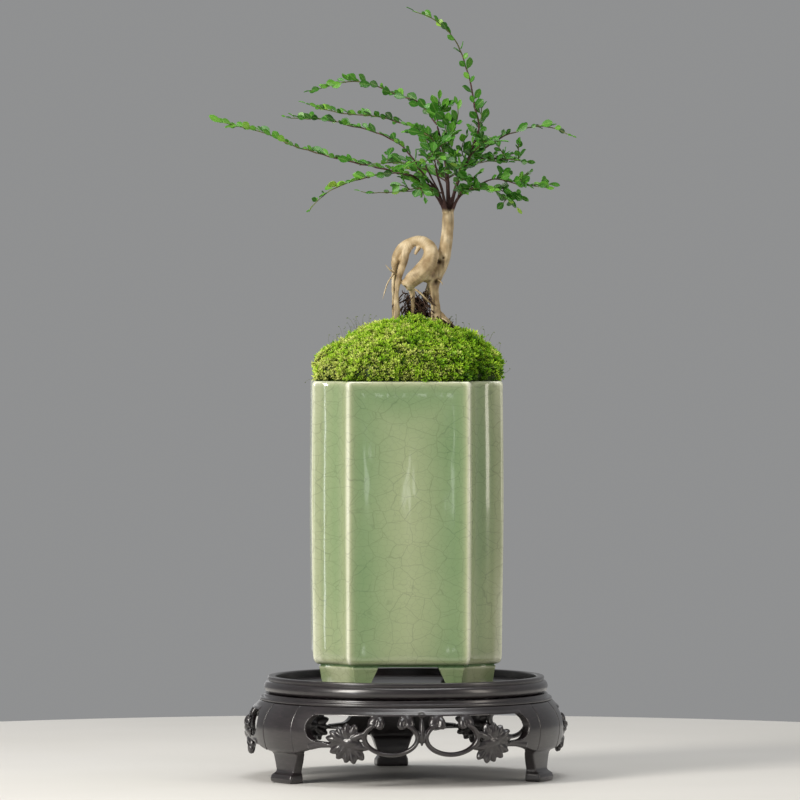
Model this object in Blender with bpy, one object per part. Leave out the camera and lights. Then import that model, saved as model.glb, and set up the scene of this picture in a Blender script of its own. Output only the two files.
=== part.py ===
"""A miniature bonsai tree in a tall celadon pot, on a carved three-legged display stand.

Metres, +Z up, front towards -Y. Each named object is one piece that comes away on the bench:
the stand's turned rim, panel and collar, its carved aprons and legs, the pot with what is packed
inside it, the moss, the trunk with its roots and limbs, and each leafy shoot.
"""

import math
import random

import bmesh
import bpy
from mathutils import Vector
from mathutils.bvhtree import BVHTree

MM = 0.001
GAP = 0.3 * MM  # clearance between pieces that rest on or in each other
SHARP_ANGLE = math.radians(35)  # edges that turn further than this stay crisp

# Stand: heights are counted up from the table, radii from the stand's axis.
ROUND_STEPS = 32
RIM_RADIUS = 64.0 * MM
RIM_HEIGHT = 7.4 * MM
RIM_WIDTH = 5.0 * MM
BEAD_SWELL = 1.6 * MM  # how far the rim's bead stands out past its lip
LIP_HEIGHT = 1.9 * MM
EASE = 0.6 * MM  # small chamfer that takes the edge off turned wood
PANEL_THICKNESS = 3.9 * MM
COLLAR_HEIGHT = 3.0 * MM
COLLAR_WIDTH = 9.4 * MM
COLLAR_STEP = 1.8 * MM
LEG_COUNT = 3
LEG_HEIGHT = 34.5 * MM
KNEE_OVERHANG = 7.5 * MM  # past the rim
KNEE_THICKNESS = 7.0 * MM
KNEE_HALF_ANGLE = math.radians(9.0)
KNEE_BOTTOM = 14.5 * MM
SHOULDER_SLOPE = 5.5 * MM  # how far the top of a knee or apron draws in
UNDERCUT = 1.65 * MM  # and how far its lower edge does
WIDEST_SHARE = 0.45  # of the way up, where it swells furthest
KNEE_LIP = 0.6 * MM  # depth of the round under the knee
ANKLE_DEPTH = 3.0 * MM  # how far the ankle is set back under the knee
ANKLE_THICKNESS = 5.0 * MM
ANKLE_HALF_ANGLE = math.radians(6.0)
PAD_WIDENING = 1.08  # the foot's width over the ankle's
FOOT_FLARE = 2.2 * MM
FOOT_PAD = 4.0 * MM
APRON_THICKNESS = 4.0 * MM
STAND_TURN = math.radians(4.2)  # how the stand happens to be turned under the pot

# Carving of an apron, drawn in millimetres for a knee of radius 71.5 and an apron 20 high, and
# stretched to fit this stand: across from the middle, up from the bottom of the knees.
PATTERN_RADIUS = 71.5
PATTERN_HEIGHT = 20.0
PATTERN_DROP = 2.8  # how far the carving hangs below the knees
BAR_BOTTOM = 17.0
SCROLL_CENTRE = (13.5, 7.2)
SCROLL_OPENING = (10.8, 6.6)  # half width and half height
SCROLL_WALL = 1.9
SCROLL_NECK = 7.0
SCROLL_CURL = 2.3  # radius of the curled horns beside the neck
SCROLL_CURL_UP = 13.14
KEYSTONE = [(-2.2, BAR_BOTTOM), (0.0, 14.2), (2.2, BAR_BOTTOM)]  # the small opening between the scrolls
MIDDLE_UP = 1.2  # height of the notch where the scrolls meet
SIDE_OPENING_END = (45.0, 11.3)
SIDE_OPENING_RADIUS = 5.7
LEAF_TOPS = [(30.5, 9.6), (33.0, 12.6), (35.0, 9.4), (38.0, 10.2), (39.5, 6.6)]
KNEE_RISE = [(-9.0, 3.6), (0.0, 1.0)]  # last of the underside, from the apron's end
LEAF_BOTTOMS = [(26.5, 1.6), (29.0, -1.8), (31.5, -2.4), (33.0, 0.0), (35.5, -1.4), (37.4, 0.8), (41.0, 1.6)]

# Pot: heights are counted up from its feet.
POT_SIDE = 85.8 * MM
POT_HEIGHT = 136.0 * MM
POT_WALL = 4.2 * MM
COVE_RADIUS = 14.8 * MM
COVE_EDGE = 2.4 * MM
RIM_ROUND = 1.2 * MM
BELLY_SHARE = 0.55  # how far up the pot is widest
BASE_DRAW = 0.7 * MM  # how far its faces draw in below that
TOP_DRAW = 0.4 * MM  # and above
CORNER_RUN = 2.0 * MM  # the sloping corner between wall and floor
CORNER_RISE = 1.5 * MM
FOOT_HEIGHT = 9.0 * MM
FOOT_INSET = 3.4 * MM
FOOT_TAPER = 1.6 * MM
FOOT_WIDTH = 9.0 * MM
FOOT_OPENING = 26.5 * MM
FOOT_OPENING_FLARE = 4.6 * MM
FLOOR_THICKNESS = 4.5 * MM
DRAIN_RADIUS = 7.0 * MM

# What is packed in the pot.
SCREEN_SIDE = 22.0 * MM
SCREEN_THICKNESS = 1.0 * MM
SCREEN_HOLES = 4
GRAVEL_DEPTH = 16.0 * MM
SOIL_BELOW_RIM = 4.0 * MM
MOUND_HEIGHT = 27.0 * MM  # of the moss above the rim
MOSS_THICKNESS = 5.0 * MM
MOSS_EDGE = 1.0 * MM  # width of bare rim left round the moss
MOUND_STEPS = (0, 16, 32, 48, 64, 82)  # degrees up the mound, of its rings
MOUND_ROUNDING = 2.2  # how soon the pot's outline turns round on the way up

# Tree
TREE_TURN = math.radians(-1.5)
TRUNK_SIDES = 7
TRUNK_STEP = 4.0  # millimetres between the rings of a piece of wood
TWIG_SIDES = 3
TWIG_TIP_RADIUS = 0.35 * MM
LEAF_THICKNESS = 0.4 * MM
# sections of a leaf: place along it, width over its length, share of its thickness
LEAF_SECTIONS = ((0.2, 0.14, 1.0), (0.68, 0.6, 1.0), (1.0, 0.3, 0.7))

# Routes of the trunk and its roots, in millimetres from the middle of the pot's rim:
# across, away, up, and the wood's radius there.
STEM = [
    (15, 1, 4, 2.2),
    (14.6, 0, 14, 2.3),
    (14.4, 0, 24, 2.2),
    (13.4, 0, 34, 1.9),
    (12.6, -0.2, 41.2, 2.3),
    (14.2, -0.3, 48.2, 2.9),
    (16.8, 0, 55.2, 3.1),
    (18.2, 0, 63, 2.8),
    (18.9, 0, 71.4, 2.6),
    (18.9, 0, 80.5, 2.8),
]
ROOTS = {
    "loop": [
        (-0.6, -3.4, 42.0, 2.3),
        (0.8, -3.8, 43.4, 3.2),
        (3.6, -4.3, 46.0, 3.8),
        (7.4, -4.4, 49.4, 4.0),
        (10.6, -3.9, 54.0, 3.7),
        (11.0, -2.9, 58.8, 3.3),
        (8.4, -1.6, 61.8, 2.7),
        (4.4, -0.4, 62.6, 2.3),
        (-0.4, 1.0, 60.6, 2.3),
        (-3.8, 1.8, 56.2, 2.3),
        (-5.0, 2.0, 51.0, 1.7),
        (-5.6, 2.4, 44.0, 1.2),
        (-5.5, 2.6, 34.0, 1.1),
        (-6.0, 3.0, 22.0, 1.2),
        (-7.2, 4.0, 8.0, 1.0),
    ],
    "saddle": [(6.4, -3.6, 48.6, 3.4), (9.6, -2.2, 47.0, 3.4), (12.8, -0.4, 45.4, 3.0)],
    "front_prop": [
        (2.0, -1.0, 60.6, 1.8),
        (-0.4, -2.6, 56.0, 2.0),
        (-2.3, -3.8, 49.2, 1.7),
        (-3.8, -4.6, 42.8, 1.3),
        (-4.3, -5.0, 36.0, 1.2),
        (-4.2, -5.0, 26.0, 1.4),
        (-3.8, -4.6, 18.0, 1.4),
        (-3.2, -4.0, 7.0, 1.0),
    ],
    "middle_prop": [
        (2.2, -2.8, 43.8, 1.7),
        (3.0, -1.2, 37.0, 1.2),
        (3.1, 0.2, 27.0, 1.2),
        (2.6, 1.0, 12.0, 0.9),
    ],
    "back_prop": [
        (10.8, 1.4, 43.6, 2.0),
        (8.6, 4.6, 36.0, 1.4),
        (7.0, 7.2, 25.0, 1.4),
        (6.0, 9.0, 9.0, 0.9),
    ],
    "spread_root": [
        (13.2, 0.6, 32.0, 1.8),
        (17.6, 0.4, 27.4, 1.5),
        (22.0, -0.4, 21.0, 1.3),
        (27.0, -1.0, 5.0, 0.8),
    ],
}
LIMBS = {
    "left": [(18.0, 0, 78.5, 2.0), (13.5, -1, 85, 1.7), (9.5, -2, 91, 1.4), (5.4, -3, 96, 1.0)],
    "middle": [
        (18.2, 0, 79.0, 2.2),
        (18.5, 1, 88, 1.8),
        (18.0, 2, 97, 1.4),
        (16.2, 2, 106, 1.1),
        (14.0, 3, 114.5, 0.8),
    ],
    "leader": [
        (18.4, 0, 79.0, 2.0),
        (22.5, 0, 87, 1.6),
        (27.0, 1, 97, 1.3),
        (30.6, 1, 106, 1.1),
        (32.9, 0, 113.5, 0.8),
    ],
    "right": [(18.4, 0, 79.0, 1.8), (24.3, -3, 83, 1.3), (30.6, -5, 86.6, 1.1), (37, -6, 89.8, 0.8)],
    "back": [(18.2, 0, 79.0, 1.8), (18.8, 8, 87, 1.4), (17, 17, 94, 1.1), (14, 26, 100, 0.8)],
    "front": [(18.0, 0, 79.0, 1.8), (16, -7, 86, 1.3), (14, -14, 92, 1.1), (13, -20, 97.5, 0.8)],
}

# Shoots: route in the same millimetres, radius at the foot, number of leaves, leaf length.
SHOOTS = {
    "left_long": (
        [(9.6, -4, 86.4), (1.8, -6, 91.5), (-8.6, -8, 94.6), (-23.4, -9, 97.8), (-36, -9, 100.9),
         (-50.9, -8, 105.4), (-63, -7, 110.8), (-74.7, -6, 114), (-86.9, -5, 117.1)],
        0.9, 23, 5.0,
    ),
    "left_upper": (
        [(16.6, 3, 104), (5, 5, 113.7), (-3.2, 5.6, 116.2), (-14.4, 6.4, 118.9), (-25.7, 7.4, 119.7),
         (-33, 8, 121.2), (-45, 8, 124.5)],
        0.7, 15, 4.8,
    ),
    "left_middle": (
        [(5.0, -3.2, 96.8), (-0.5, -3, 104), (-7.2, -2, 108.7), (-16.2, -1, 112.3),
         (-25.2, 0, 114.5), (-34.2, 1, 116.8), (-54, 2, 118.4)],
        0.7, 16, 4.8,
    ),
    "left_top": (
        [(13.9, 3.4, 115), (9, 8, 122), (4.3, 10, 125.7), (-3.2, 12, 128.6), (-10.8, 13, 131.5),
         (-21.8, 14, 134.7), (-29.3, 13.6, 134.2), (-43.2, 12, 130.2)],
        0.7, 16, 4.8,
    ),
    "left_low": (
        [(13, -3, 86), (6.3, -8, 90), (-0.5, -11, 92.6), (-9.5, -13, 92.6), (-18.5, -14, 90.9),
         (-27.5, -14, 88), (-36.5, -13, 83.5), (-43.3, -12, 76.6)],
        0.8, 13, 5.4,
    ),
    "left_thin": ([(12, 0.6, 86), (4, 3, 85.4), (-5, 4, 84.8), (-20, 5.6, 84.7)], 0.5, 4, 4.4),
    "leader": (
        [(32.9, 0, 113.5), (32.2, 1, 118.5), (30.6, 2, 124), (29.0, 3, 134), (26.6, 4, 142),
         (23.9, 4, 149.6), (20.4, 3, 155.5), (15.5, 2, 160), (4.0, 0, 165.6)],
        0.8, 17, 5.2,
    ),
    "crown_left": ([(14, 2.4, 115), (14.4, 0, 121), (15, -2, 127)], 0.6, 5, 7.0),
    "right_upper": (
        [(27.8, 1.4, 99), (35.5, 6, 104), (42.3, 9, 109.1), (49, 11, 111.8), (55.8, 12, 113.9),
         (63.9, 12, 114.3), (74.5, 10, 110.4)],
        0.7, 11, 5.2,
    ),
    "right_middle": (
        [(28.6, 0, 101), (37.8, -3, 99.6), (45.9, -5, 99.4), (55, -6, 97.6)],
        0.6, 7, 6.0,
    ),
    "right_low": ([(37, -6, 89.8), (42.3, -8, 90.2), (49, -9, 88.4), (62, -9, 86.4)], 0.6, 8, 5.4),
    "right_droop": ([(31, -4, 86.4), (41.4, 1, 86), (45.9, 2, 83.5), (49.5, 3, 78)], 0.5, 4, 5.4),
    "front_right": ([(23, -2.4, 82.5), (25.2, -10, 84.6), (31, -15, 86), (38, -19, 85.4)], 0.6, 6, 7.4),
    "front_left": ([(16.6, -5, 84), (9, -12, 86), (2.7, -16, 86), (-2.4, -19, 84.4)], 0.6, 6, 7.2),
    "front": ([(13, -20, 97.5), (12, -26, 99.4), (10, -33, 99), (8, -39, 97)], 0.6, 6, 6.8),
    "front_high": ([(18, 2, 98), (15, -7, 104), (12, -13, 108), (8, -21, 111)], 0.6, 7, 6.6),
    "front_right_high": ([(27, 1, 98), (30.6, -7, 102.6), (33.6, -13, 106), (36, -20, 107)], 0.6, 7, 6.4),
    "back": ([(14, 26, 100), (12, 33, 103), (10, 41, 105), (8, 50, 104)], 0.6, 7, 6.0),
    "back_left": ([(18, 11, 90), (8, 19, 95), (-2, 24, 98), (-15, 29, 98)], 0.6, 8, 6.0),
    "back_right": ([(18, 12, 90.6), (28, 18, 96), (36, 24, 99), (46, 29, 98.4)], 0.6, 8, 6.0),
    "top_back": ([(30.6, 1, 106), (33, 7, 113), (34, 11, 120), (33, 14, 127)], 0.5, 6, 6.0),
    "crown_middle": ([(16.4, 2, 105), (21, -2, 111), (23, -5, 118), (23, -6, 123)], 0.6, 6, 6.4),
}


def clear_scene():
    for obj in list(bpy.data.objects):
        bpy.data.objects.remove(obj)


def material(name, colour, roughness):
    """A plain finish from an RGB colour and a roughness. Nothing on this object is metal."""
    made = bpy.data.materials.new(name)
    made.use_nodes = True
    shader = made.node_tree.nodes["Principled BSDF"]
    shader.inputs["Base Color"].default_value = (*colour, 1.0)
    shader.inputs["Roughness"].default_value = roughness
    shader.inputs["Metallic"].default_value = 0.0
    return made


def new_object(name, bm, finish, parent):
    """The mesh as an object that shades smooth across shallow edges."""
    mesh = bpy.data.meshes.new(name)
    bm.to_mesh(mesh)
    bm.free()
    mesh.shade_smooth()
    mesh.set_sharp_from_angle(angle=SHARP_ANGLE)
    obj = bpy.data.objects.new(name, mesh)
    bpy.context.scene.collection.objects.link(obj)
    obj.parent = parent
    if finish:
        mesh.materials.append(finish)
    return obj


def new_empty(name, location, parent=None):
    obj = bpy.data.objects.new(name, None)
    bpy.context.scene.collection.objects.link(obj)
    obj.location = location
    obj.parent = parent
    return obj


def helper(name, bm, parent):
    """A cutter or a piece to be joined on, which isn't itself part of the model."""
    obj = new_object(name, bm, None, parent)
    obj.hide_render = True
    obj.display_type = "WIRE"
    return obj


def combine(obj, other, operation):
    modifier = obj.modifiers.new(operation.lower() + "_" + other.name, "BOOLEAN")
    modifier.operation = operation
    modifier.object = other


def baked_mesh(obj):
    """The object's mesh with its modifiers carried out."""
    bpy.context.view_layer.update()
    evaluated = obj.evaluated_get(bpy.context.evaluated_depsgraph_get())
    return bpy.data.meshes.new_from_object(evaluated)


def loft(rings, wrap=False):
    """A closed skin over rings of equal length. Its ends are capped unless it wraps round."""
    bm = bmesh.new()
    loops = [[bm.verts.new(point) for point in ring] for ring in rings]
    pairs = list(zip(loops, loops[1:]))
    if wrap:
        pairs.append((loops[-1], loops[0]))
    for low, high in pairs:
        for i in range(len(low)):
            j = (i + 1) % len(low)
            bm.faces.new((low[i], low[j], high[j], high[i]))
    if not wrap:
        bm.faces.new(loops[0][::-1])
        bm.faces.new(loops[-1])
    bmesh.ops.recalc_face_normals(bm, faces=bm.faces)
    return bm


def circle(radius, height, steps=ROUND_STEPS):
    turns = [2 * math.pi * k / steps for k in range(steps)]
    return [Vector((radius * math.cos(a), radius * math.sin(a), height)) for a in turns]


def arc(centre, radii, start, end, steps):
    """Points of an elliptical arc in a flat plane, from one angle in degrees to another."""
    angles = [math.radians(start + (end - start) * k / steps) for k in range(steps + 1)]
    return [(centre[0] + radii[0] * math.cos(a), centre[1] + radii[1] * math.sin(a)) for a in angles]


def smooth_path(points, step):
    """Points about every step along a smooth curve through the given ones, radius included."""
    knots = [Vector(p) for p in points]
    knots = [knots[0] * 2 - knots[1], *knots, knots[-1] * 2 - knots[-2]]
    path = []
    for a, b, c, d in zip(knots, knots[1:], knots[2:], knots[3:]):
        count = max(1, round((c - b).length / step))
        for k in range(count):
            t = k / count
            turn = (2 * a - 5 * b + 4 * c - d) * t**2 + (3 * b - a - 3 * c + d) * t**3
            path.append((2 * b + (c - a) * t + turn) / 2)
    path.append(knots[-2])
    return path


def tube_rings(path, radii, sides, grow=0.0):
    """Rings of a round tube along a path of 3D points. Growing it also moves its ends out."""
    ends = [(b - a).normalized() for a, b in zip(path, path[1:])]
    tangents = [ends[0], *[(a + b).normalized() for a, b in zip(ends, ends[1:])], ends[-1]]
    path = [path[0] - ends[0] * grow, *path[1:-1], path[-1] + ends[-1] * grow]
    side = tangents[0].orthogonal().normalized()
    rings = []
    for point, tangent, radius in zip(path, tangents, radii):
        side = (side - tangent * side.dot(tangent)).normalized()
        other = tangent.cross(side)
        turns = [2 * math.pi * k / sides for k in range(sides)]
        reach = radius + grow
        rings.append([point + (side * math.cos(a) + other * math.sin(a)) * reach for a in turns])
    return rings


def wood_tube(points, grow=0.0):
    """A tapering piece of trunk, root or limb, from points that hold its radius as well."""
    path = smooth_path(points, TRUNK_STEP)
    centres = [p.to_3d() * MM for p in path]
    radii = [p[3] * MM for p in path]
    return loft(tube_rings(centres, radii, TRUNK_SIDES, grow))


# ---- stand

KNEE_RADIUS = RIM_RADIUS + KNEE_OVERHANG
COLLAR_BASE = LEG_HEIGHT + GAP
RIM_BASE = COLLAR_BASE + COLLAR_HEIGHT + GAP
RIM_TOP = RIM_BASE + RIM_HEIGHT
PANEL_TOP = RIM_BASE + PANEL_THICKNESS
PANEL_RADIUS = RIM_RADIUS - RIM_WIDTH - GAP
APRON_HALF_ANGLE = math.pi / LEG_COUNT - KNEE_HALF_ANGLE - GAP / KNEE_RADIUS


def turned_ring(name, profile, wood, stand):
    """A ring turned from a closed profile of radius and height."""
    bm = bmesh.new()
    corners = [bm.verts.new((radius, 0.0, height)) for radius, height in profile]
    edges = [bm.edges.new(pair) for pair in zip(corners, corners[1:] + corners[:1])]
    turn = {"axis": (0, 0, 1), "cent": (0, 0, 0), "angle": 2 * math.pi, "steps": ROUND_STEPS}
    bmesh.ops.spin(bm, geom=corners + edges, use_merge=True, **turn)
    bmesh.ops.recalc_face_normals(bm, faces=bm.faces)
    return new_object(name, bm, wood, stand)


def stand_rim(wood, stand):
    """The turned ring: a round bead with a thin lip above it, square inside to hold the panel."""
    inner = RIM_RADIUS - RIM_WIDTH
    lip = RIM_RADIUS - BEAD_SWELL
    bead_half = (RIM_HEIGHT - LIP_HEIGHT) / 2
    bead = arc((lip - EASE, RIM_BASE + bead_half), (BEAD_SWELL + EASE, bead_half), -80, 80, 6)
    outside = [*bead, (lip, RIM_TOP - LIP_HEIGHT), (lip, RIM_TOP - EASE), (lip - EASE, RIM_TOP)]
    inside = [(inner + EASE, RIM_TOP), (inner, RIM_TOP - EASE), (inner, RIM_BASE)]
    return turned_ring("stand_rim", [*outside, *inside], wood, stand)


def stand_panel(wood, stand):
    """The round board that the pot stands on, let into the rim."""
    levels = [(PANEL_RADIUS, RIM_BASE), (PANEL_RADIUS, PANEL_TOP - EASE), (PANEL_RADIUS - EASE, PANEL_TOP)]
    return new_object("stand_panel", loft([circle(radius, z) for radius, z in levels]), wood, stand)


def stand_collar(wood, stand):
    """The stepped moulding between the rim and the aprons, which carries rim and panel."""
    outer = RIM_RADIUS + COLLAR_STEP
    waist = RIM_RADIUS
    inner = outer - COLLAR_WIDTH - COLLAR_STEP
    step = COLLAR_BASE + COLLAR_HEIGHT / 2
    top = COLLAR_BASE + COLLAR_HEIGHT
    outside = [(outer, COLLAR_BASE), (outer - EASE, step - EASE), (waist, step), (waist, top - EASE)]
    profile = [(inner, COLLAR_BASE), *outside, (waist - EASE, top), (inner, top)]
    return turned_ring("stand_collar", profile, wood, stand)


def bulge(height):
    """Outer radius of the aprons and knees at a height: they swell out below the collar."""
    share = (height - KNEE_BOTTOM) / (LEG_HEIGHT - KNEE_BOTTOM)
    if share > WIDEST_SHARE:
        return KNEE_RADIUS - SHOULDER_SLOPE * ((share - WIDEST_SHARE) / (1 - WIDEST_SHARE)) ** 2
    return KNEE_RADIUS - UNDERCUT * ((WIDEST_SHARE - share) / WIDEST_SHARE) ** 2


def sector(half_angle, inner, outer, height, steps):
    """One level of a piece that follows the stand's round, centred on the front."""
    turns = [half_angle * (2 * k / steps - 1) for k in range(steps + 1)]
    front = [Vector((outer * math.sin(a), -outer * math.cos(a), height)) for a in turns]
    back = [Vector((inner * math.sin(a), -inner * math.cos(a), height)) for a in reversed(turns)]
    return front + back


def mirrored(outline):
    return [(-x, z) for x, z in outline]


def apron_openings():
    """Closed outlines, on the carving's pattern, of what is sawn out of an apron."""
    across, up = SCROLL_CENTRE
    neck_left = across - SCROLL_NECK / 2
    neck_right = across + SCROLL_NECK / 2
    curls = (SCROLL_CURL, SCROLL_CURL)
    scroll = [
        (neck_left, BAR_BOTTOM),
        *arc((neck_left - SCROLL_CURL, SCROLL_CURL_UP), curls, 0, -150, 4),
        *arc(SCROLL_CENTRE, SCROLL_OPENING, 146, 394, 10),
        *arc((neck_right + SCROLL_CURL, SCROLL_CURL_UP), curls, -30, -180, 4),
        (neck_right, BAR_BOTTOM),
    ]
    ring_edge = across + SCROLL_OPENING[0] + SCROLL_WALL
    end_radii = (SIDE_OPENING_RADIUS, SIDE_OPENING_RADIUS)
    side = [(ring_edge, BAR_BOTTOM), (ring_edge + 1.0, up), *LEAF_TOPS]
    side += arc(SIDE_OPENING_END, end_radii, -100, 90, 6)
    return [scroll, side, mirrored(scroll), mirrored(side), KEYSTONE]


def apron_underside():
    """The outline below the apron: rounds of the scrolls, scalloped leaves, rise to the knees."""
    wall = (SCROLL_OPENING[0] + SCROLL_WALL, SCROLL_OPENING[1] + SCROLL_WALL)
    end = PATTERN_RADIUS * math.sin(APRON_HALF_ANGLE)
    scroll = arc(SCROLL_CENTRE, wall, -146, -44, 7)
    rise = [(end + x, z) for x, z in KNEE_RISE]
    half = [(0.0, MIDDLE_UP), *scroll, *LEAF_BOTTOMS, *rise]
    reach, edge, clear = PATTERN_RADIUS, KNEE_RISE[-1][1], -3 * PATTERN_DROP
    below = [(reach, edge), (reach, clear), (-reach, clear), (-reach, edge)]
    return [*mirrored(half[:0:-1]), *half, *below]


def sawn_shape(outline):
    """An outline on the pattern as a bar that passes right through the front of the stand."""
    wide = KNEE_RADIUS / PATTERN_RADIUS
    tall = (LEG_HEIGHT - KNEE_BOTTOM) / PATTERN_HEIGHT
    fitted = [(x * wide, KNEE_BOTTOM + z * tall) for x, z in outline]
    return loft([[Vector((x, y, z)) for x, z in fitted] for y in (-1.1 * KNEE_RADIUS, -0.3 * KNEE_RADIUS)])


def stand_aprons(wood, stand):
    """Carved boards between the legs, sawn to one pattern and turned into place."""
    bottom = KNEE_BOTTOM - PATTERN_DROP / PATTERN_HEIGHT * (LEG_HEIGHT - KNEE_BOTTOM)
    levels = [bottom + (LEG_HEIGHT - bottom) * k / 4 for k in range(5)]
    rings = [sector(APRON_HALF_ANGLE, bulge(z) - APRON_THICKNESS, bulge(z), z, 12) for z in levels]
    board = helper("apron_board", loft(rings), stand)
    shapes = [*apron_openings(), apron_underside()]
    cutters = [helper(f"apron_cutter_{k}", sawn_shape(s), stand) for k, s in enumerate(shapes)]
    for cutter in cutters:
        combine(board, cutter, "DIFFERENCE")
    pattern = baked_mesh(board)
    pattern.set_sharp_from_angle(angle=SHARP_ANGLE)
    pattern.materials.append(wood)
    for spare in (board, *cutters):
        bpy.data.objects.remove(spare)
    for k, place in enumerate(("front", "right", "left")):
        apron = bpy.data.objects.new("apron_" + place, pattern)
        bpy.context.scene.collection.objects.link(apron)
        apron.parent = stand
        apron.rotation_euler.z = 2 * math.pi * k / LEG_COUNT


def stand_legs(wood, stand):
    """Legs with a swelling knee, an ankle that tapers downwards and a foot that flares out."""
    ankle_outer = KNEE_RADIUS - ANKLE_DEPTH
    inner = ankle_outer - ANKLE_THICKNESS
    flared = ankle_outer + FOOT_FLARE
    lip = KNEE_BOTTOM - KNEE_LIP
    pad_half = ANKLE_HALF_ANGLE * PAD_WIDENING
    lip_outer = bulge(KNEE_BOTTOM)
    knee_inner = lip_outer - KNEE_THICKNESS
    levels = [
        (0.0, inner, flared, pad_half),
        (FOOT_PAD * 0.6, inner, flared, pad_half),
        (FOOT_PAD + 1.0 * MM, inner, ankle_outer, ANKLE_HALF_ANGLE),
        (lip - KNEE_LIP, knee_inner, lip_outer - 1.0 * MM, KNEE_HALF_ANGLE * 0.94),
        (lip, knee_inner, lip_outer, KNEE_HALF_ANGLE),
    ]
    knee_heights = [KNEE_BOTTOM + (LEG_HEIGHT - KNEE_BOTTOM) * k / 5 for k in range(1, 6)]
    levels += [(z, bulge(z) - KNEE_THICKNESS, bulge(z), KNEE_HALF_ANGLE) for z in knee_heights]
    bm = loft([sector(half_angle, near, far, z, 4) for z, near, far, half_angle in levels])
    for k, place in enumerate(("right", "rear", "left")):
        leg = new_object("leg_" + place, bm.copy(), wood, stand)
        leg.rotation_euler.z = (2 * k + 1) * math.pi / LEG_COUNT
    bm.free()


# ---- pot and what is packed in it

FLOOR_TOP = FOOT_HEIGHT + FLOOR_THICKNESS
GRAVEL_TOP = FLOOR_TOP + GAP + GRAVEL_DEPTH
SOIL_SHOULDER = POT_HEIGHT - SOIL_BELOW_RIM
HEAP_HEIGHT = MOUND_HEIGHT + SOIL_BELOW_RIM - MOSS_THICKNESS


def pot_outline(inset, height):
    """One level round the pot: four flat faces joined by coves, all moved in by the inset."""
    face = POT_SIDE / 2 - inset
    corner = POT_SIDE / 2
    cove = COVE_RADIUS + inset
    edge = max(COVE_EDGE - inset, 0.6 * MM)
    edge_across = face - edge
    edge_up = corner - math.sqrt((cove + edge) ** 2 - (corner - edge_across) ** 2)
    lean = math.degrees(math.atan2(corner - edge_up, corner - edge_across))
    first_edge = arc((edge_across, edge_up), (edge, edge), 0, lean, 2)
    hollow = arc((corner, corner), (cove, cove), lean - 180, -90 - lean, 5)[1:-1]
    second_edge = [(y, x) for x, y in reversed(first_edge)]
    quarter = [*first_edge, *hollow, *second_edge]
    ring = []
    for _ in range(4):
        ring += [Vector((x, y, height)) for x, y in quarter]
        quarter = [(-y, x) for x, y in quarter]
    return ring


def pot(glaze, parent):
    """The tall cove-cornered pot with its bracket feet, thrown and fired as one piece."""
    foot_bottom = FOOT_INSET + FOOT_TAPER
    levels = [
        (foot_bottom + FOOT_WIDTH, FOOT_HEIGHT + 0.9 * MM),
        (foot_bottom + FOOT_WIDTH, 0.0),
        (foot_bottom, 0.0),
        (FOOT_INSET, FOOT_HEIGHT - 0.4 * MM),
        (FOOT_INSET - 1.5 * MM, FOOT_HEIGHT + 0.5 * MM),
        (BASE_DRAW + 1.0 * MM, FOOT_HEIGHT + 2.4 * MM),
        (BASE_DRAW, FOOT_HEIGHT + 5.0 * MM),
        (0.0, POT_HEIGHT * BELLY_SHARE),
        (TOP_DRAW, POT_HEIGHT - RIM_ROUND),
        (TOP_DRAW + 1.0 * MM, POT_HEIGHT),
        (POT_WALL - 0.8 * MM, POT_HEIGHT),
        (POT_WALL, POT_HEIGHT - RIM_ROUND),
        (POT_WALL, FLOOR_TOP + CORNER_RISE),
        (POT_WALL + CORNER_RUN, FLOOR_TOP),
    ]
    body = new_object("pot", loft([pot_outline(inset, z) for inset, z in levels]), glaze, parent)
    reach = POT_SIDE
    low_half = FOOT_OPENING / 2 + FOOT_OPENING_FLARE
    high_half = FOOT_OPENING / 2
    gap = [(-low_half, -1.0 * MM), (low_half, -1.0 * MM), (high_half, FOOT_HEIGHT), (-high_half, FOOT_HEIGHT)]
    across = [[Vector((x, y, z)) for x, z in gap] for y in (-reach, reach)]
    along = [[Vector((y, x, z)) for x, z in gap] for y in (-reach, reach)]
    drain = [circle(DRAIN_RADIUS, z, 16) for z in (FOOT_HEIGHT - 1.0 * MM, FLOOR_TOP + 2.0 * MM)]
    for name, rings in (("gap_across", across), ("gap_along", along), ("drain_cutter", drain)):
        combine(body, helper(name, loft(rings), parent), "DIFFERENCE")
    return body


def drain_screen(plastic, parent):
    """The plastic mesh laid over the drain hole: bars with square holes between them."""
    cells = 2 * SCREEN_HOLES + 1
    bm = bmesh.new()
    bmesh.ops.create_grid(bm, x_segments=cells, y_segments=cells, size=SCREEN_SIDE / 2)
    cell = SCREEN_SIDE / cells
    for face in list(bm.faces):
        centre = face.calc_center_median()
        column = round((centre.x + SCREEN_SIDE / 2) / cell - 0.5)
        row = round((centre.y + SCREEN_SIDE / 2) / cell - 0.5)
        if column % 2 and row % 2:
            bm.faces.remove(face)
    sheet = bmesh.ops.extrude_face_region(bm, geom=list(bm.faces))
    tops = [v for v in sheet["geom"] if isinstance(v, bmesh.types.BMVert)]
    bmesh.ops.translate(bm, verts=tops, vec=(0, 0, SCREEN_THICKNESS))
    bmesh.ops.recalc_face_normals(bm, faces=bm.faces)
    screen = new_object("drain_screen", bm, plastic, parent)
    screen.location.z = FLOOR_TOP + GAP
    return screen


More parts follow.
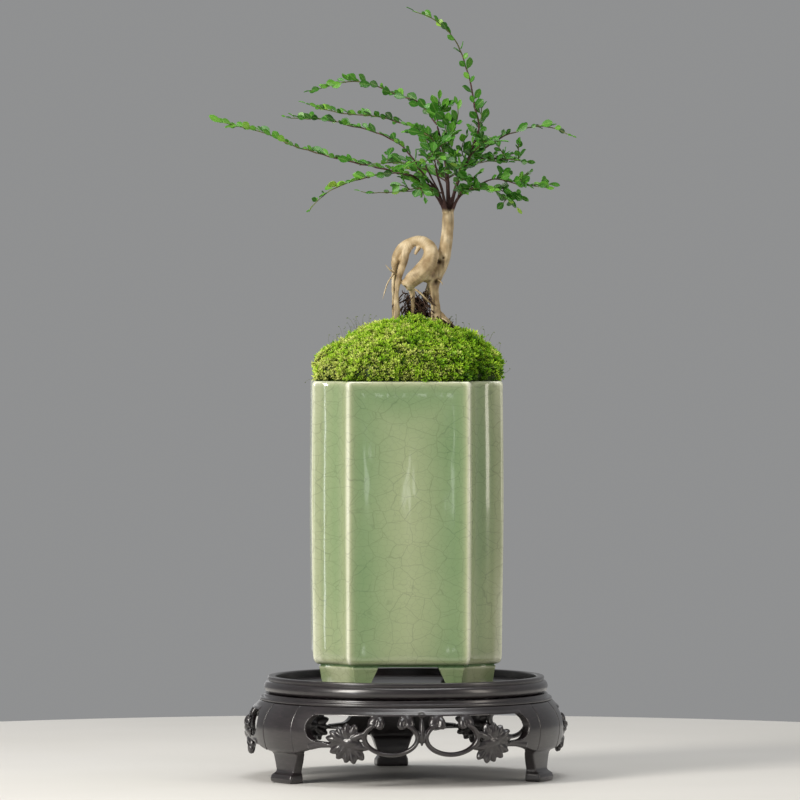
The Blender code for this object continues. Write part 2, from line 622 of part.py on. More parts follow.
def gravel(stone, parent):
    """The drainage layer, with a recess where it lies over the screen."""
    bottom = FLOOR_TOP + GAP
    side = POT_WALL + GAP
    levels = [(side + CORNER_RUN, bottom), (side, bottom + CORNER_RISE), (side, GRAVEL_TOP)]
    layer = new_object("gravel", loft([pot_outline(inset, z) for inset, z in levels]), stone, parent)
    half = SCREEN_SIDE / 2 + GAP
    corners = [(-half, -half), (half, -half), (half, half), (-half, half)]
    ceiling = bottom + SCREEN_THICKNESS + GAP
    recess = [[Vector((x, y, z)) for x, y in corners] for z in (bottom - 1.0 * MM, ceiling)]
    combine(layer, helper("screen_recess", loft(recess), parent), "DIFFERENCE")
    return layer


def mound_rings(foot_inset, foot_height, height):
    """Levels of a dome over the pot, from its coved outline at the foot to a round crown."""
    foot = pot_outline(foot_inset, 0.0)
    round_radius = sum(p.length for p in foot) / len(foot)
    rings = []
    for degrees in MOUND_STEPS:
        turn = math.radians(degrees)
        roundness = min(1.0, MOUND_ROUNDING * math.sin(turn))
        ring = [p.lerp(p.normalized() * round_radius, roundness) * math.cos(turn) for p in foot]
        rings.append([Vector((p.x, p.y, foot_height + height * math.sin(turn))) for p in ring])
    return rings


def soil(earth, parent, roots):
    """Potting soil from the gravel up, heaped into a mound for the moss to grow on."""
    side = POT_WALL + GAP
    rings = [pot_outline(side, GRAVEL_TOP + GAP), pot_outline(side, SOIL_SHOULDER)]
    rings += mound_rings(POT_WALL + MOSS_THICKNESS, SOIL_SHOULDER, HEAP_HEIGHT)
    heap = new_object("soil", loft(rings), earth, parent)
    for root in roots:
        combine(heap, root, "DIFFERENCE")
    return heap


def moss(green, parent, roots):
    """The cushion of moss: a thick skin over the mound that spreads out over the pot's rim."""
    side = POT_WALL + GAP
    inside = mound_rings(POT_WALL + MOSS_THICKNESS - 2 * GAP, SOIL_SHOULDER + GAP, HEAP_HEIGHT + GAP)
    neck = [pot_outline(side, SOIL_SHOULDER + GAP), pot_outline(side, POT_HEIGHT + GAP)]
    outside = mound_rings(MOSS_EDGE, POT_HEIGHT + GAP, MOUND_HEIGHT)
    cushion = new_object("moss", loft([*inside[::-1], *neck, *outside]), green, parent)
    for root in roots:
        combine(cushion, root, "DIFFERENCE")
    return cushion


# ---- tree


def trunk(bark, tree):
    """The trunk with its looped root, prop roots and limbs, grown as one piece."""
    body = new_object("trunk", wood_tube(STEM), bark, tree)
    for name, points in {**ROOTS, **LIMBS}.items():
        combine(body, helper("wood_" + name, wood_tube(points), tree), "UNION")
    return body


def root_cutters(tree):
    """The buried wood, a clearance larger all round, to cut its way through moss and soil."""
    buried = {"stem": STEM, **ROOTS}
    names = [name for name in buried if name != "saddle"]
    return [helper("way_of_" + n, wood_tube(buried[n], grow=GAP), tree) for n in names]


def clear_start(path, radius, wood):
    """The path from where a twig of that radius stands clear of the wood it grows from."""
    near = [k for k, point in enumerate(path) if wood.find_nearest(point)[3] < radius + 2 * GAP]
    return path[max(near, default=-1) + 1 :]


def even_path(path, count):
    """The path again, as count equal stretches."""
    lengths = [0.0]
    for a, b in zip(path, path[1:]):
        lengths.append(lengths[-1] + (b - a).length)
    points = []
    k = 0
    for n in range(count + 1):
        target = lengths[-1] * n / count
        while k < len(path) - 2 and lengths[k + 1] < target:
            k += 1
        share = (target - lengths[k]) / (lengths[k + 1] - lengths[k])
        points.append(path[k].lerp(path[k + 1], share))
    return points


def leaf_rings(base, along, across, length, grow=0.0):
    """Four-cornered sections of a leaf: the end of its stalk, its widest place and its blunt tip."""
    up = along.cross(across)
    rings = []
    for place, spread, depth in LEAF_SECTIONS:
        centre = base + along * (length * place)
        half = across * (length * spread / 2 + grow)
        lift = up * (LEAF_THICKNESS * depth / 2 + grow)
        rings.append([centre + half, centre + lift, centre - half, centre - lift])
    return rings


def grow_leaf(bm, face, rings):
    """Draws a leaf out of one face of the twig, so that shoot and leaf stay one body."""
    for ring in rings:
        face = bmesh.ops.extrude_discrete_faces(bm, faces=[face])["faces"][0]
        corners = list(face.verts)
        turns = [ring[k:] + ring[:k] for k in range(4)]
        best = min(turns, key=lambda t: sum((v.co - p).length for v, p in zip(corners, t)))
        for vert, point in zip(corners, best):
            vert.co = point


def tree_of(rings):
    """Search tree over the sides of a run of rings, to test for collisions."""
    points = [p for ring in rings for p in ring]
    width = len(rings[0])
    faces = []
    for k in range(len(rings) - 1):
        low, high = k * width, (k + 1) * width
        faces += [(low + i, low + (i + 1) % width, high + (i + 1) % width, high + i) for i in range(width)]
    return BVHTree.FromPolygons(points, faces)


def leaf_pose(tangent, number, chance):
    """Directions along and across a leaf: two ranks beside the twig, leaning up and forwards."""
    reference = Vector((0, 0, 1)) if abs(tangent.z) < 0.75 else Vector((0, -1, 0))
    side = tangent.cross(reference).normalized() * (-1) ** number
    lift = reference * chance.uniform(0.15, 0.6)
    along = (tangent * chance.uniform(0.35, 0.8) + side + lift).normalized()
    across = along.cross(reference)
    across = (across + reference * chance.uniform(-0.35, 0.35)).normalized()
    across = (across - along * across.dot(along)).normalized()
    return along, across


def shoots(leafy, tree, trunk_mesh):
    """Every leafy shoot. A leaf that would touch another shoot is turned, or left out."""
    wood = BVHTree.FromPolygons(
        [v.co for v in trunk_mesh.vertices], [p.vertices for p in trunk_mesh.polygons]
    )
    twigs = {}
    for name, (points, foot_radius, leaves, _) in SHOOTS.items():
        route = [p * MM for p in smooth_path(points, 1.0)]
        path = even_path(clear_start(route, foot_radius * MM, wood), leaves + 1)
        share = (foot_radius * MM - TWIG_TIP_RADIUS) / (leaves + 1)
        radii = [foot_radius * MM - share * k for k in range(leaves + 2)]
        twigs[name] = tube_rings(path, radii, TWIG_SIDES)
    obstacles = [("trunk", wood), *[(name, tree_of(rings)) for name, rings in twigs.items()]]
    for seed, (name, rings) in enumerate(twigs.items()):
        bm, grown = leafy_twig(name, rings, obstacles, random.Random(seed))
        obstacles += [(name, leaf) for leaf in grown]
        new_object("shoot_" + name, bm, leafy, tree)


def leafy_twig(name, rings, obstacles, chance):
    """One twig with its leaves, and the search trees of the leaves that it took."""
    length = SHOOTS[name][3] * MM
    bm = loft(rings)
    sides = list(bm.faces)
    others = [other for owner, other in obstacles if owner != name]
    grown = []
    for k in range(len(rings) - 1):
        middle = sum(rings[k] + rings[k + 1], Vector()) / (2 * TWIG_SIDES)
        tangent = (sum(rings[k + 1], Vector()) - sum(rings[k], Vector())).normalized()
        size = length * (0.8 + 0.3 * chance.random())
        for attempt in range(4):
            along, across = leaf_pose(tangent, k + attempt, chance)
            stretch = sides[k * TWIG_SIDES : (k + 1) * TWIG_SIDES]
            face = max(stretch, key=lambda f: (f.calc_center_median() - middle).dot(along))
            base = face.calc_center_median()
            room = tree_of([[base] * 4, *leaf_rings(base, along, across, size, GAP)])
            if not any(room.overlap(other) for other in others):
                grow_leaf(bm, face, leaf_rings(base, along, across, size))
                grown.append(room)
                break
    return bm, grown


# ---- the whole


def centre_on_base(model):
    """Moves the model so that the middle of its bounding box's base is the origin."""
    bpy.context.view_layer.update()
    graph = bpy.context.evaluated_depsgraph_get()
    corners = []
    for obj in bpy.context.scene.objects:
        if obj.type == "MESH" and not obj.hide_render:
            mesh = obj.evaluated_get(graph).to_mesh()
            corners += [obj.matrix_world @ v.co for v in mesh.vertices]
    low = [min(c[axis] for c in corners) for axis in range(3)]
    high = [max(c[axis] for c in corners) for axis in range(3)]
    model.location = (-(low[0] + high[0]) / 2, -(low[1] + high[1]) / 2, -low[2])
    bpy.context.view_layer.update()


def main():
    clear_scene()
    rosewood = material("rosewood", (0.035, 0.022, 0.022), 0.32)
    celadon = material("celadon glaze", (0.32, 0.42, 0.21), 0.12)
    bark = material("bark", (0.50, 0.40, 0.24), 0.75)
    leafy = material("leaf", (0.10, 0.30, 0.05), 0.45)
    green = material("moss", (0.20, 0.36, 0.05), 0.85)
    earth = material("potting soil", (0.05, 0.033, 0.02), 0.95)
    stone = material("pumice gravel", (0.35, 0.31, 0.26), 0.9)
    plastic = material("screen plastic", (0.02, 0.02, 0.02), 0.5)

    model = new_empty("bonsai", (0, 0, 0))
    stand = new_empty("stand", (0, 0, 0), model)
    stand.rotation_euler.z = STAND_TURN
    stand_rim(rosewood, stand)
    stand_panel(rosewood, stand)
    stand_collar(rosewood, stand)
    stand_aprons(rosewood, stand)
    stand_legs(rosewood, stand)

    potted = new_empty("potted", (0, 0, PANEL_TOP + GAP), model)
    pot(celadon, potted)
    drain_screen(plastic, potted)
    gravel(stone, potted)
    tree = new_empty("tree", (0, 0, POT_HEIGHT), potted)
    tree.rotation_euler.z = TREE_TURN
    roots = root_cutters(tree)
    soil(earth, potted, roots)
    moss(green, potted, roots)
    trunk_object = trunk(bark, tree)
    shoots(leafy, tree, baked_mesh(trunk_object))
    centre_on_base(model)


main()
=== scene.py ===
import bmesh
import bpy
from math import atan2, cos, degrees, exp, hypot, pi, radians, sin, sqrt
import random
import re
import numpy as np
from mathutils import Matrix, Vector, noise


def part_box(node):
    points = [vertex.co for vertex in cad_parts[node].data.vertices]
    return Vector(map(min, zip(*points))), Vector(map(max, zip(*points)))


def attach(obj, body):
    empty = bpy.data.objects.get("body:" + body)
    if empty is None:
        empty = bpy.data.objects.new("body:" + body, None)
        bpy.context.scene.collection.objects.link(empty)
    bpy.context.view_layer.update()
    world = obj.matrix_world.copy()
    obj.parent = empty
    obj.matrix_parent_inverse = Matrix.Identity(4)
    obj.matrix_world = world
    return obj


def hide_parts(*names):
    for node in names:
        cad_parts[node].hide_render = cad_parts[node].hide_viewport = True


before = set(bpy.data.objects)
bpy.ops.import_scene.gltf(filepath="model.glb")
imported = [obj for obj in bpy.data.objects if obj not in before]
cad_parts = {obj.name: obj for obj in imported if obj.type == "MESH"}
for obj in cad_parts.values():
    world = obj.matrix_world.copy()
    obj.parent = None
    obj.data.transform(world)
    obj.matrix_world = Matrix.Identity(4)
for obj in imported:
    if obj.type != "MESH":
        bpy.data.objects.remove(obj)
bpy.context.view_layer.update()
bpy.ops.object.select_all(action="DESELECT")
mm = 0.001
print("frame loaded:", len(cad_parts), "nodes")

# ---- small tools


def pickOnly(*objects):
    # the last one is the active one
    bpy.ops.object.select_all(action="DESELECT")
    for obj in objects:
        obj.select_set(True)
        bpy.context.view_layer.objects.active = obj


def startEdit(obj):
    pickOnly(obj)
    bpy.ops.object.mode_set(mode="EDIT")
    bpy.ops.mesh.select_mode(type="VERT")
    bpy.ops.mesh.select_all(action="SELECT")


def endEdit():
    bpy.ops.object.mode_set(mode="OBJECT")


def endSolid():
    # faces out, then back to object mode
    bpy.ops.mesh.select_all(action="SELECT")
    bpy.ops.mesh.normals_make_consistent(inside=False)
    endEdit()


def extrude(x, y, z):
    bpy.ops.mesh.extrude_region_move(TRANSFORM_OT_translate={"value": (x, y, z)})


def linked(name, data):
    obj = bpy.data.objects.new(name, data)
    bpy.context.scene.collection.objects.link(obj)
    return obj


def copied(obj, name):
    return linked(name, obj.data.copy())


def choose(obj, kind, test):
    # in edit mode: selects only the verts, edges or faces whose middle passes the test
    bpy.ops.mesh.select_all(action="DESELECT")
    bpy.ops.mesh.select_mode(type=kind)
    mesh = bmesh.from_edit_mesh(obj.data)
    parts = {"VERT": mesh.verts, "EDGE": mesh.edges, "FACE": mesh.faces}[kind]
    for part in parts:
        if kind == "VERT":
            middle = part.co
        elif kind == "EDGE":
            middle = (part.verts[0].co + part.verts[1].co) / 2
        else:
            middle = part.calc_center_median()
        if test(middle, part):
            part.select_set(True)
    bmesh.update_edit_mesh(obj.data)


def applyModifier(obj, kind, **settings):
    pickOnly(obj)
    modifier = obj.modifiers.new(kind.lower(), kind)
    for name, value in settings.items():
        setattr(modifier, name, value)
    bpy.ops.object.modifier_apply(modifier=modifier.name)


def joined(name, pieces):
    pickOnly(*pieces)
    bpy.ops.object.join()
    whole = bpy.context.object
    whole.name = name
    whole.data.name = name
    return whole


def placed(obj, name=None):
    # puts a primitive's place and turn into its mesh
    pickOnly(obj)
    bpy.ops.object.transform_apply(location=True, rotation=True, scale=True)
    if name:
        obj.name = name
        obj.data.name = name
    return obj


def meshPoints(obj):
    points = np.empty(len(obj.data.vertices) * 3)
    obj.data.vertices.foreach_get("co", points)
    return points.reshape(-1, 3)


def movePoints(obj, points):
    obj.data.vertices.foreach_set("co", np.asarray(points, float).ravel())
    obj.data.update()


def paint(obj, name, values):
    # one number for each vertex, that a material can read by name
    layer = obj.data.attributes.new(name, "FLOAT", "POINT")
    layer.data.foreach_set("value", (np.zeros(len(layer.data)) + values).astype(np.float32))


def bell(value, centre, width):
    # 1 at the centre, falling away over the width
    return np.exp(-(((value - centre) / width) ** 2))


def smoothShade(obj, angle=40):
    pickOnly(obj)
    bpy.ops.object.shade_smooth_by_angle(angle=radians(angle))


def arcPoints(centre, radii, start, end, steps):
    turns = [radians(start + (end - start) * k / steps) for k in range(steps + 1)]
    return [(centre[0] + radii[0] * cos(a), centre[1] + radii[1] * sin(a)) for a in turns]


def drawOutline(name, points):
    # one point, extruded from corner to corner and back to the start
    corners = [Vector(p) for p in points]
    bpy.ops.mesh.primitive_plane_add(size=mm, location=corners[0])
    obj = placed(bpy.context.object, name)
    startEdit(obj)
    bpy.ops.mesh.merge(type="CENTER")
    for here, there in zip(corners, corners[1:] + corners[:1]):
        extrude(*(there - here))
    bpy.ops.mesh.select_all(action="SELECT")
    bpy.ops.mesh.remove_doubles(threshold=0.001 * mm)
    return obj


def turned(name, profile, steps):
    # a closed profile of (radius, height), spun round the stand's axis
    obj = drawOutline(name, [(standAxis.x + r, standAxis.y, z) for r, z in profile])
    bpy.ops.mesh.spin(steps=steps, angle=2 * pi, center=standAxis, axis=(0, 0, 1))
    bpy.ops.mesh.select_all(action="SELECT")
    bpy.ops.mesh.remove_doubles(threshold=0.01 * mm)
    endSolid()
    return obj


def stacked(name, rings):
    # the first ring is drawn, and each next one is extruded from the last and shaped
    obj = drawOutline(name, rings[0])
    bpy.ops.mesh.edge_face_add()
    for last, ring in zip(rings, rings[1:]):
        extrude(0, 0, 0)
        mesh = bmesh.from_edit_mesh(obj.data)
        old = np.array([tuple(p) for p in last])
        for vert in [v for v in mesh.verts if v.select]:
            k = int(np.argmin(((old - np.array(vert.co)) ** 2).sum(1)))
            vert.co = ring[k]
        bmesh.update_edit_mesh(obj.data)
    endSolid()
    return obj


def bentTube(name, points, thickness=mm, round=3, resolution=6, closed=False):
    # a curve through the points, which may hold a radius as a share of the thickness
    bpy.ops.curve.primitive_bezier_curve_add(location=(0, 0, 0))
    obj = bpy.context.object
    obj.name = name
    shape = obj.data
    spline = shape.splines[0]
    spline.bezier_points.add(len(points) - 2)
    for knot, point in zip(spline.bezier_points, points):
        knot.co = point[:3]
        knot.radius = point[3] if len(point) > 3 else 1
        knot.handle_left_type = knot.handle_right_type = "AUTO"
    spline.use_cyclic_u = closed
    spline.resolution_u = resolution
    shape.bevel_depth = thickness
    shape.bevel_resolution = round
    shape.use_fill_caps = not closed
    pickOnly(obj)
    bpy.ops.object.convert(target="MESH")
    return bpy.context.object


def scattered(name, pattern, places, values):
    # copies of one small piece, each put in place by its own matrix, in a mesh of their own
    points = meshPoints(pattern)
    sides = [tuple(p.vertices) for p in pattern.data.polygons]
    count = len(points)
    matrices = np.array([[list(row) for row in m] for m in places])
    spread = np.einsum("mij,pj->mpi", matrices[:, :3, :3], points) + matrices[:, None, :3, 3]
    starts = np.concatenate([[0], np.cumsum([len(s) for s in sides])[:-1]])
    corners = np.array([c for s in sides for c in s])
    total = len(places)
    mesh = bpy.data.meshes.new(name)
    mesh.vertices.add(total * count)
    mesh.vertices.foreach_set("co", spread.ravel())
    mesh.loops.add(total * len(corners))
    mesh.loops.foreach_set(
        "vertex_index", (corners[None, :] + np.arange(total)[:, None] * count).ravel()
    )
    mesh.polygons.add(total * len(sides))
    mesh.polygons.foreach_set(
        "loop_start", (starts[None, :] + np.arange(total)[:, None] * len(corners)).ravel()
    )
    mesh.update(calc_edges=True)
    obj = linked(name, mesh)
    for layer in pattern.data.attributes:
        if layer.data_type == "FLOAT" and layer.domain == "POINT":
            own = np.empty(count, np.float32)
            layer.data.foreach_get("value", own)
            paint(obj, layer.name, np.tile(own, total))
    for label, each in values.items():
        paint(obj, label, np.repeat(np.asarray(each, np.float32), count))
    smoothShade(obj, 60)
    return obj


def coat(obj, material):
    obj.data.materials.clear()
    obj.data.materials.append(material)


def finished(obj, slotName, material, *nodes):
    coat(obj, material)
    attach(obj, "root")
    if nodes:
        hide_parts(*nodes)


# ---- materials


def linear(code, alpha=1.0):
    # sRGB hex to the linear colour that shaders want
    parts = [int(code[k : k + 2], 16) / 255 for k in (0, 2, 4)]
    return (*[p / 12.92 if p <= 0.04045 else ((p + 0.055) / 1.055) ** 2.4 for p in parts], alpha)


def addNode(near, kind, inputs=None, **settings):
    # near is anything in the same node tree; inputs are plain values or sockets
    tree = near.id_data
    node = tree.nodes.new("ShaderNode" + kind)
    for name, value in settings.items():
        setattr(node, name, value)
    for key, value in (inputs or {}).items():
        if isinstance(value, bpy.types.NodeSocket):
            tree.links.new(value, node.inputs[key])
        else:
            node.inputs[key].default_value = value
    return node


def feed(shader, socket, *labels):
    for label in labels:
        shader.id_data.links.new(socket, shader.inputs[label])


def painted(shader, name):
    return addNode(shader, "Attribute", attribute_name=name).outputs["Fac"]


def stretched(place, scale):
    return addNode(place, "Mapping", {"Vector": place, "Scale": scale}).outputs[0]


def clouds(place, scale, detail, distortion=0.0, out="Fac"):
    inputs = {"Vector": place, "Scale": scale, "Detail": detail, "Distortion": distortion}
    return addNode(place, "TexNoise", inputs).outputs[out]


def cells(place, scale, feature="F1"):
    return addNode(place, "TexVoronoi", {"Vector": place, "Scale": scale}, feature=feature).outputs


def ramp(value, stops):
    # the stops are sRGB hex colours or grey levels
    node = addNode(value, "ValToRGB", {"Fac": value})
    elements = node.color_ramp.elements
    while len(elements) < len(stops):
        elements.new(0.5)
    for element, (place, colour) in zip(elements, stops):
        element.position = place
        element.color = linear(colour) if isinstance(colour, str) else (colour,) * 3 + (1,)
    return node.outputs[0]


def ranged(value, low, high):
    return addNode(value, "MapRange", {"Value": value, "To Min": low, "To Max": high}).outputs[0]


def mixed(share, first, second, blend="MIX"):
    inputs = {"Fac": share, "Color1": first, "Color2": second}
    return addNode(first, "MixRGB", inputs, blend_type=blend).outputs[0]


def bumped(height, strength, depth, invert=False):
    inputs = {"Strength": strength, "Distance": depth * mm, "Height": height}
    return addNode(height, "Bump", inputs, invert=invert).outputs[0]


def letThrough(shader, colour, share):
    # light that comes through a thin leaf
    through = addNode(shader, "BsdfTranslucent", {"Color": colour}).outputs[0]
    both = addNode(shader, "MixShader", {0: share, 1: shader.outputs[0], 2: through})
    feed(shader.id_data.nodes["Material Output"], both.outputs[0], "Surface")


def newMaterial(name, roughness, ior=1.5, **uniform):
    material = bpy.data.materials.new(name)
    material.use_nodes = True
    shader = material.node_tree.nodes["Principled BSDF"]
    for label, value in {"Roughness": roughness, "IOR": ior, **uniform}.items():
        shader.inputs[label.replace("_", " ")].default_value = value
    return material, shader, addNode(shader, "TexCoord").outputs["Object"]


def lacqueredRosewood():
    # blackwood rubbed with dark lacquer: near black and faintly purple, satin, fine pores
    look = {"Coat_Weight": 0.8, "Coat_Roughness": 0.2}
    material, shader, place = newMaterial("lacqueredRosewood", 0.34, **look)
    grain = clouds(stretched(place, (260, 260, 1500)), 1.0, 5.0, 0.6)  # bands 0.7 mm high
    patch = clouds(place, 60.0, 3.0)  # about 15 mm
    wood = ramp(grain, [(0.3, "130e0f"), (0.55, "211a1d"), (0.75, "33292d")])
    lift = ramp(patch, [(0.35, "b4a8aa"), (0.7, "ffffff")])
    feed(shader, mixed(0.8, wood, lift, "MULTIPLY"), "Base Color")
    feed(shader, ranged(patch, 0.26, 0.48), "Roughness")
    feed(shader, bumped(grain, 0.12, 0.1), "Normal")
    return material


def celadonGlaze():
    # crackled celadon on stoneware: pale where it thins on an edge, green where it pools, with painted
    # shade in the groove above the foot and painted highlights on its brinks
    look = {"Coat_Weight": 0.7, "Coat_Roughness": 0.05}
    material, shader, place = newMaterial("celadonGlaze", 0.16, 1.52, **look)
    uneven = ranged(clouds(place, 22.0, 2.0), -0.16, 0.16)  # clouds of 45 mm
    depth = addNode(shader, "Math", {0: painted(shader, "glazeDepthAndShade"), 1: uneven}, operation="ADD")
    tone = ramp(depth.outputs[0], [(0.0, "dcdfc6"), (0.25, "b3ba97"), (0.5, "9aa67e"), (1.0, "68895a")])
    wander = clouds(place, 240.0, 1.0, out="Color")
    bent = mixed(0.5, stretched(place, (300, 300, 360)), wander, "ADD")  # cells near 3 mm
    fine = cells(bent, 1.0, "DISTANCE_TO_EDGE")["Distance"]
    wide = cells(bent, 0.36, "DISTANCE_TO_EDGE")["Distance"]  # 9 mm
    hairline = ramp(fine, [(0.0, 0.62), (0.04, 1.0)])
    split = ramp(wide, [(0.0, 0.4), (0.022, 1.0)])
    crack = mixed(1.0, hairline, split, "MULTIPLY")
    feed(shader, mixed(0.4, tone, crack, "MULTIPLY"), "Base Color")
    waves = clouds(stretched(place, (75, 75, 22)), 1.0, 2.0)  # ripples 13 mm wide, 45 mm high
    feed(shader, bumped(waves, 0.4, 1.0), "Normal", "Coat Normal")
    return material


def rootBark():
    # smooth thin bark of an exposed root, pale tan; the dark brown mixed in is painted shade in its folds,
    # wrinkles and hollows, and also darkens the roots towards the bottom
    material, shader, place = newMaterial("rootBark", 0.62, 1.45)
    patch = clouds(place, 190.0, 4.0)  # patches of 5 mm
    skin = ramp(patch, [(0.3, "957d58"), (0.5, "bba580"), (0.7, "dcc9a6")])
    withFoldShade = mixed(painted(shader, "foldShade"), skin, linear("46321c"))
    feed(shader, mixed(painted(shader, "young"), withFoldShade, linear("3c211b")), "Base Color")
    feed(shader, bumped(clouds(place, 1300.0, 3.0), 0.4, 0.25), "Normal")  # grit of 0.8 mm
    return material


def twigBark():
    # young shoots: red brown and rough, green towards the tip
    material, shader, place = newMaterial("twigBark", 0.6, 1.45)
    old = ramp(clouds(place, 900.0, 2.0), [(0.35, "2c1a18"), (0.65, "5c3c30")])
    feed(shader, mixed(painted(shader, "tip"), old, linear("66762f")), "Base Color")
    return material


def leafSkin():
    # small leathery leaves: waxy green, paler midrib, yellow green when young
    material, shader, place = newMaterial("leafSkin", 0.34, 1.45)
    greens = [(0.0, "295a16"), (0.35, "478c26"), (0.65, "74b33c"), (1.0, "c2dc5c")]
    tone = ramp(painted(shader, "tint"), greens)
    mottled = mixed(0.25, tone, clouds(place, 700.0, 2.0), "OVERLAY")
    vein = ramp(painted(shader, "rib"), [(0.78, 0.0), (1.0, 0.45)])  # thin pale midrib
    ribbed = mixed(vein, mottled, linear("9cc766"))
    feed(shader, ribbed, "Base Color")
    letThrough(shader, ribbed, 0.28)
    return material


def mossLeaf():
    # living cushion moss: bright at the tips, with painted shade that darkens it down in the cushion
    material, shader, _ = newMaterial("mossLeaf", 0.5, 1.4)
    greens = [(0.0, "4a7c10"), (0.35, "9ad424"), (0.7, "d2f84a"), (1.0, "f4ff8c")]
    # painted shade: the lower a leaf sits in its tuft, the darker it is
    depth = ramp(painted(shader, "height"), [(0.0, 0.02), (0.35, 0.16), (0.75, 1.0)])
    tone = mixed(1.0, ramp(painted(shader, "tint"), greens), depth, "MULTIPLY")
    feed(shader, tone, "Base Color")
    letThrough(shader, tone, 0.3)
    return material


def pottingSoil():
    # damp loam with bits of bark: crumbly and dark
    material, shader, place = newMaterial("pottingSoil", 0.92, 1.4)
    crumbs = cells(place, 700.0)  # crumbs of 1.4 mm
    feed(shader, ramp(crumbs["Color"], [(0.2, "1c130d"), (0.6, "3b2a1c"), (0.95, "6e5236")]), "Base Color")
    feed(shader, bumped(crumbs["Distance"], 0.8, 0.6), "Normal")
    return material


def pumiceGravel():
    # washed pumice: pale grey and cream grains of 3 mm
    material, shader, place = newMaterial("pumiceGravel", 0.9, 1.45)
    grains = cells(place, 330.0)
    feed(shader, ramp(grains["Color"], [(0.1, "8d8172"), (0.5, "b5a995"), (0.9, "d8cfbd")]), "Base Color")
    feed(shader, bumped(grains["Distance"], 1.0, 1.2, True), "Normal")
    return material


def screenPlastic():
    # moulded black polyethylene mesh, with the sheen of the mould's fine grain
    material, shader, place = newMaterial("screenPlastic", 0.45, 1.51)
    mould = clouds(place, 2500.0, 2.0)  # grain of 0.4 mm
    feed(shader, ramp(mould, [(0.3, "17181a"), (0.7, "26282b")]), "Base Color")
    feed(shader, bumped(mould, 0.25, 0.05), "Normal")
    return material


rosewood = lacqueredRosewood()
celadon = celadonGlaze()
bark = rootBark()
twigSkin = twigBark()
leafy = leafSkin()
mossGreen = mossLeaf()
for label, finish in {
    "soil": pottingSoil(),
    "gravel": pumiceGravel(),
    "drain_screen": screenPlastic(),
}.items():
    coat(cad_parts[label], finish)
print("materials made")

# ---- stand

rimLow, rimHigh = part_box("stand_rim")
collarLow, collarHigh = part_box("stand_collar")
panelLow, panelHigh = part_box("stand_panel")
standAxis = Vector(((rimLow.x + rimHigh.x) / 2, (rimLow.y + rimHigh.y) / 2, 0))
rimRadius = (rimHigh.x - rimLow.x) / 2

rimShape = {"width": 5.0 * mm, "swell": 1.6 * mm, "lip": 1.9 * mm, "ease": 0.7 * mm, "steps": 144}


def makeRim():
    inner = rimRadius - rimShape["width"]
    lip = rimRadius - rimShape["swell"]
    ease = rimShape["ease"]
    small = 0.4 * mm
    half = (rimHigh.z - rimLow.z - rimShape["lip"]) / 2
    bead = arcPoints((lip - ease, rimLow.z + half), (rimShape["swell"] + ease, half), -88, 78, 16)
    top = [
        *arcPoints((lip - small, rimHigh.z - rimShape["lip"] + 0.5 * mm), (small, small), -60, 0, 3),
        *arcPoints((lip - ease, rimHigh.z - ease), (ease, ease), 0, 90, 5),
        *arcPoints((inner + ease, rimHigh.z - ease), (ease, ease), 90, 180, 5),
    ]
    rim = turned("standRim", [*bead, *top, (inner, rimLow.z)], rimShape["steps"])
    smoothShade(rim)
    finished(rim, "rosewood", rosewood, "stand_rim")


def makePanel():
    bpy.ops.mesh.primitive_cylinder_add(
        vertices=144,
        radius=(panelHigh.x - panelLow.x) / 2,
        depth=panelHigh.z - panelLow.z,
        location=(standAxis.x, standAxis.y, (panelHigh.z + panelLow.z) / 2),
    )
    panel = placed(bpy.context.object, "standPanel")
    startEdit(panel)
    choose(panel, "FACE", lambda middle, face: face.normal.z > 0.9)
    bpy.ops.mesh.inset(thickness=1.2 * mm)
    bpy.ops.mesh.inset(thickness=0.8 * mm)
    bpy.ops.transform.translate(value=(0, 0, -0.35 * mm))
    bpy.ops.mesh.inset(thickness=16 * mm)
    top = panelHigh.z - 0.01 * mm
    choose(panel, "EDGE", lambda middle, edge: middle.z > top and edge.calc_face_angle(0) > 1)
    bpy.ops.mesh.bevel(offset=0.4 * mm, segments=3)
    endEdit()
    smoothShade(panel)
    finished(panel, "rosewood", rosewood, "stand_panel")


collarShape = {"width": 9.4 * mm, "step": 1.8 * mm, "steps": 144}


def makeCollar():
    outer = rimRadius + collarShape["step"]
    inner = rimRadius - collarShape["width"]
    low, high = collarLow.z, collarHigh.z
    middle = (low + high) / 2
    small = 0.55 * mm
    profile = [
        (inner, low),
        *arcPoints((outer - small, low + small), (small, small), -90, 0, 4),
        *arcPoints((outer - small, middle - small), (small, small), 0, 80, 4),
        *arcPoints((rimRadius + 0.5 * mm, middle + 0.5 * mm), (0.5 * mm, 0.5 * mm), 260, 180, 4),
        *arcPoints((rimRadius - small, high - small), (small, small), 0, 90, 4),
        (inner, high),
    ]
    collar = turned("standCollar", profile, collarShape["steps"])
    smoothShade(collar)
    finished(collar, "rosewood", rosewood, "stand_collar")


# The aprons and legs are carved flat, then bent round the stand: x goes round, z up from the
# knees' lower edge, and -y is how far a thing stands out from the wood's swelling face.
skirt = {
    "turn": radians(4.2),  # the stand isn't quite square to the pot
    "radius": rimRadius + 7.5 * mm,
    "kneeBottom": 14.5 * mm,
    "slope": 5.5 * mm,
    "legHalf": radians(9.0),
    "thickness": 4.0 * mm,
    "grit": 0.36 * mm,
}
skirtHeight = collarLow.z - skirt["kneeBottom"]
apronHalf = skirt["radius"] * (pi / 3 - skirt["legHalf"])


def bentRound(obj, turn):
    points = meshPoints(obj)
    height = points[:, 2]
    share = height / skirtHeight
    upper = np.clip((share - 0.45) / 0.55, 0, None) ** 2
    lower = 0.3 * np.clip((0.45 - share) / 0.45, 0, 1) ** 2
    radius = skirt["radius"] - skirt["slope"] * (upper + lower) - points[:, 1]
    angle = points[:, 0] / skirt["radius"] + turn + skirt["turn"]
    movePoints(obj, np.stack([
        standAxis.x + radius * np.sin(angle),
        standAxis.y - radius * np.cos(angle),
        height + skirt["kneeBottom"],
    ], 1))


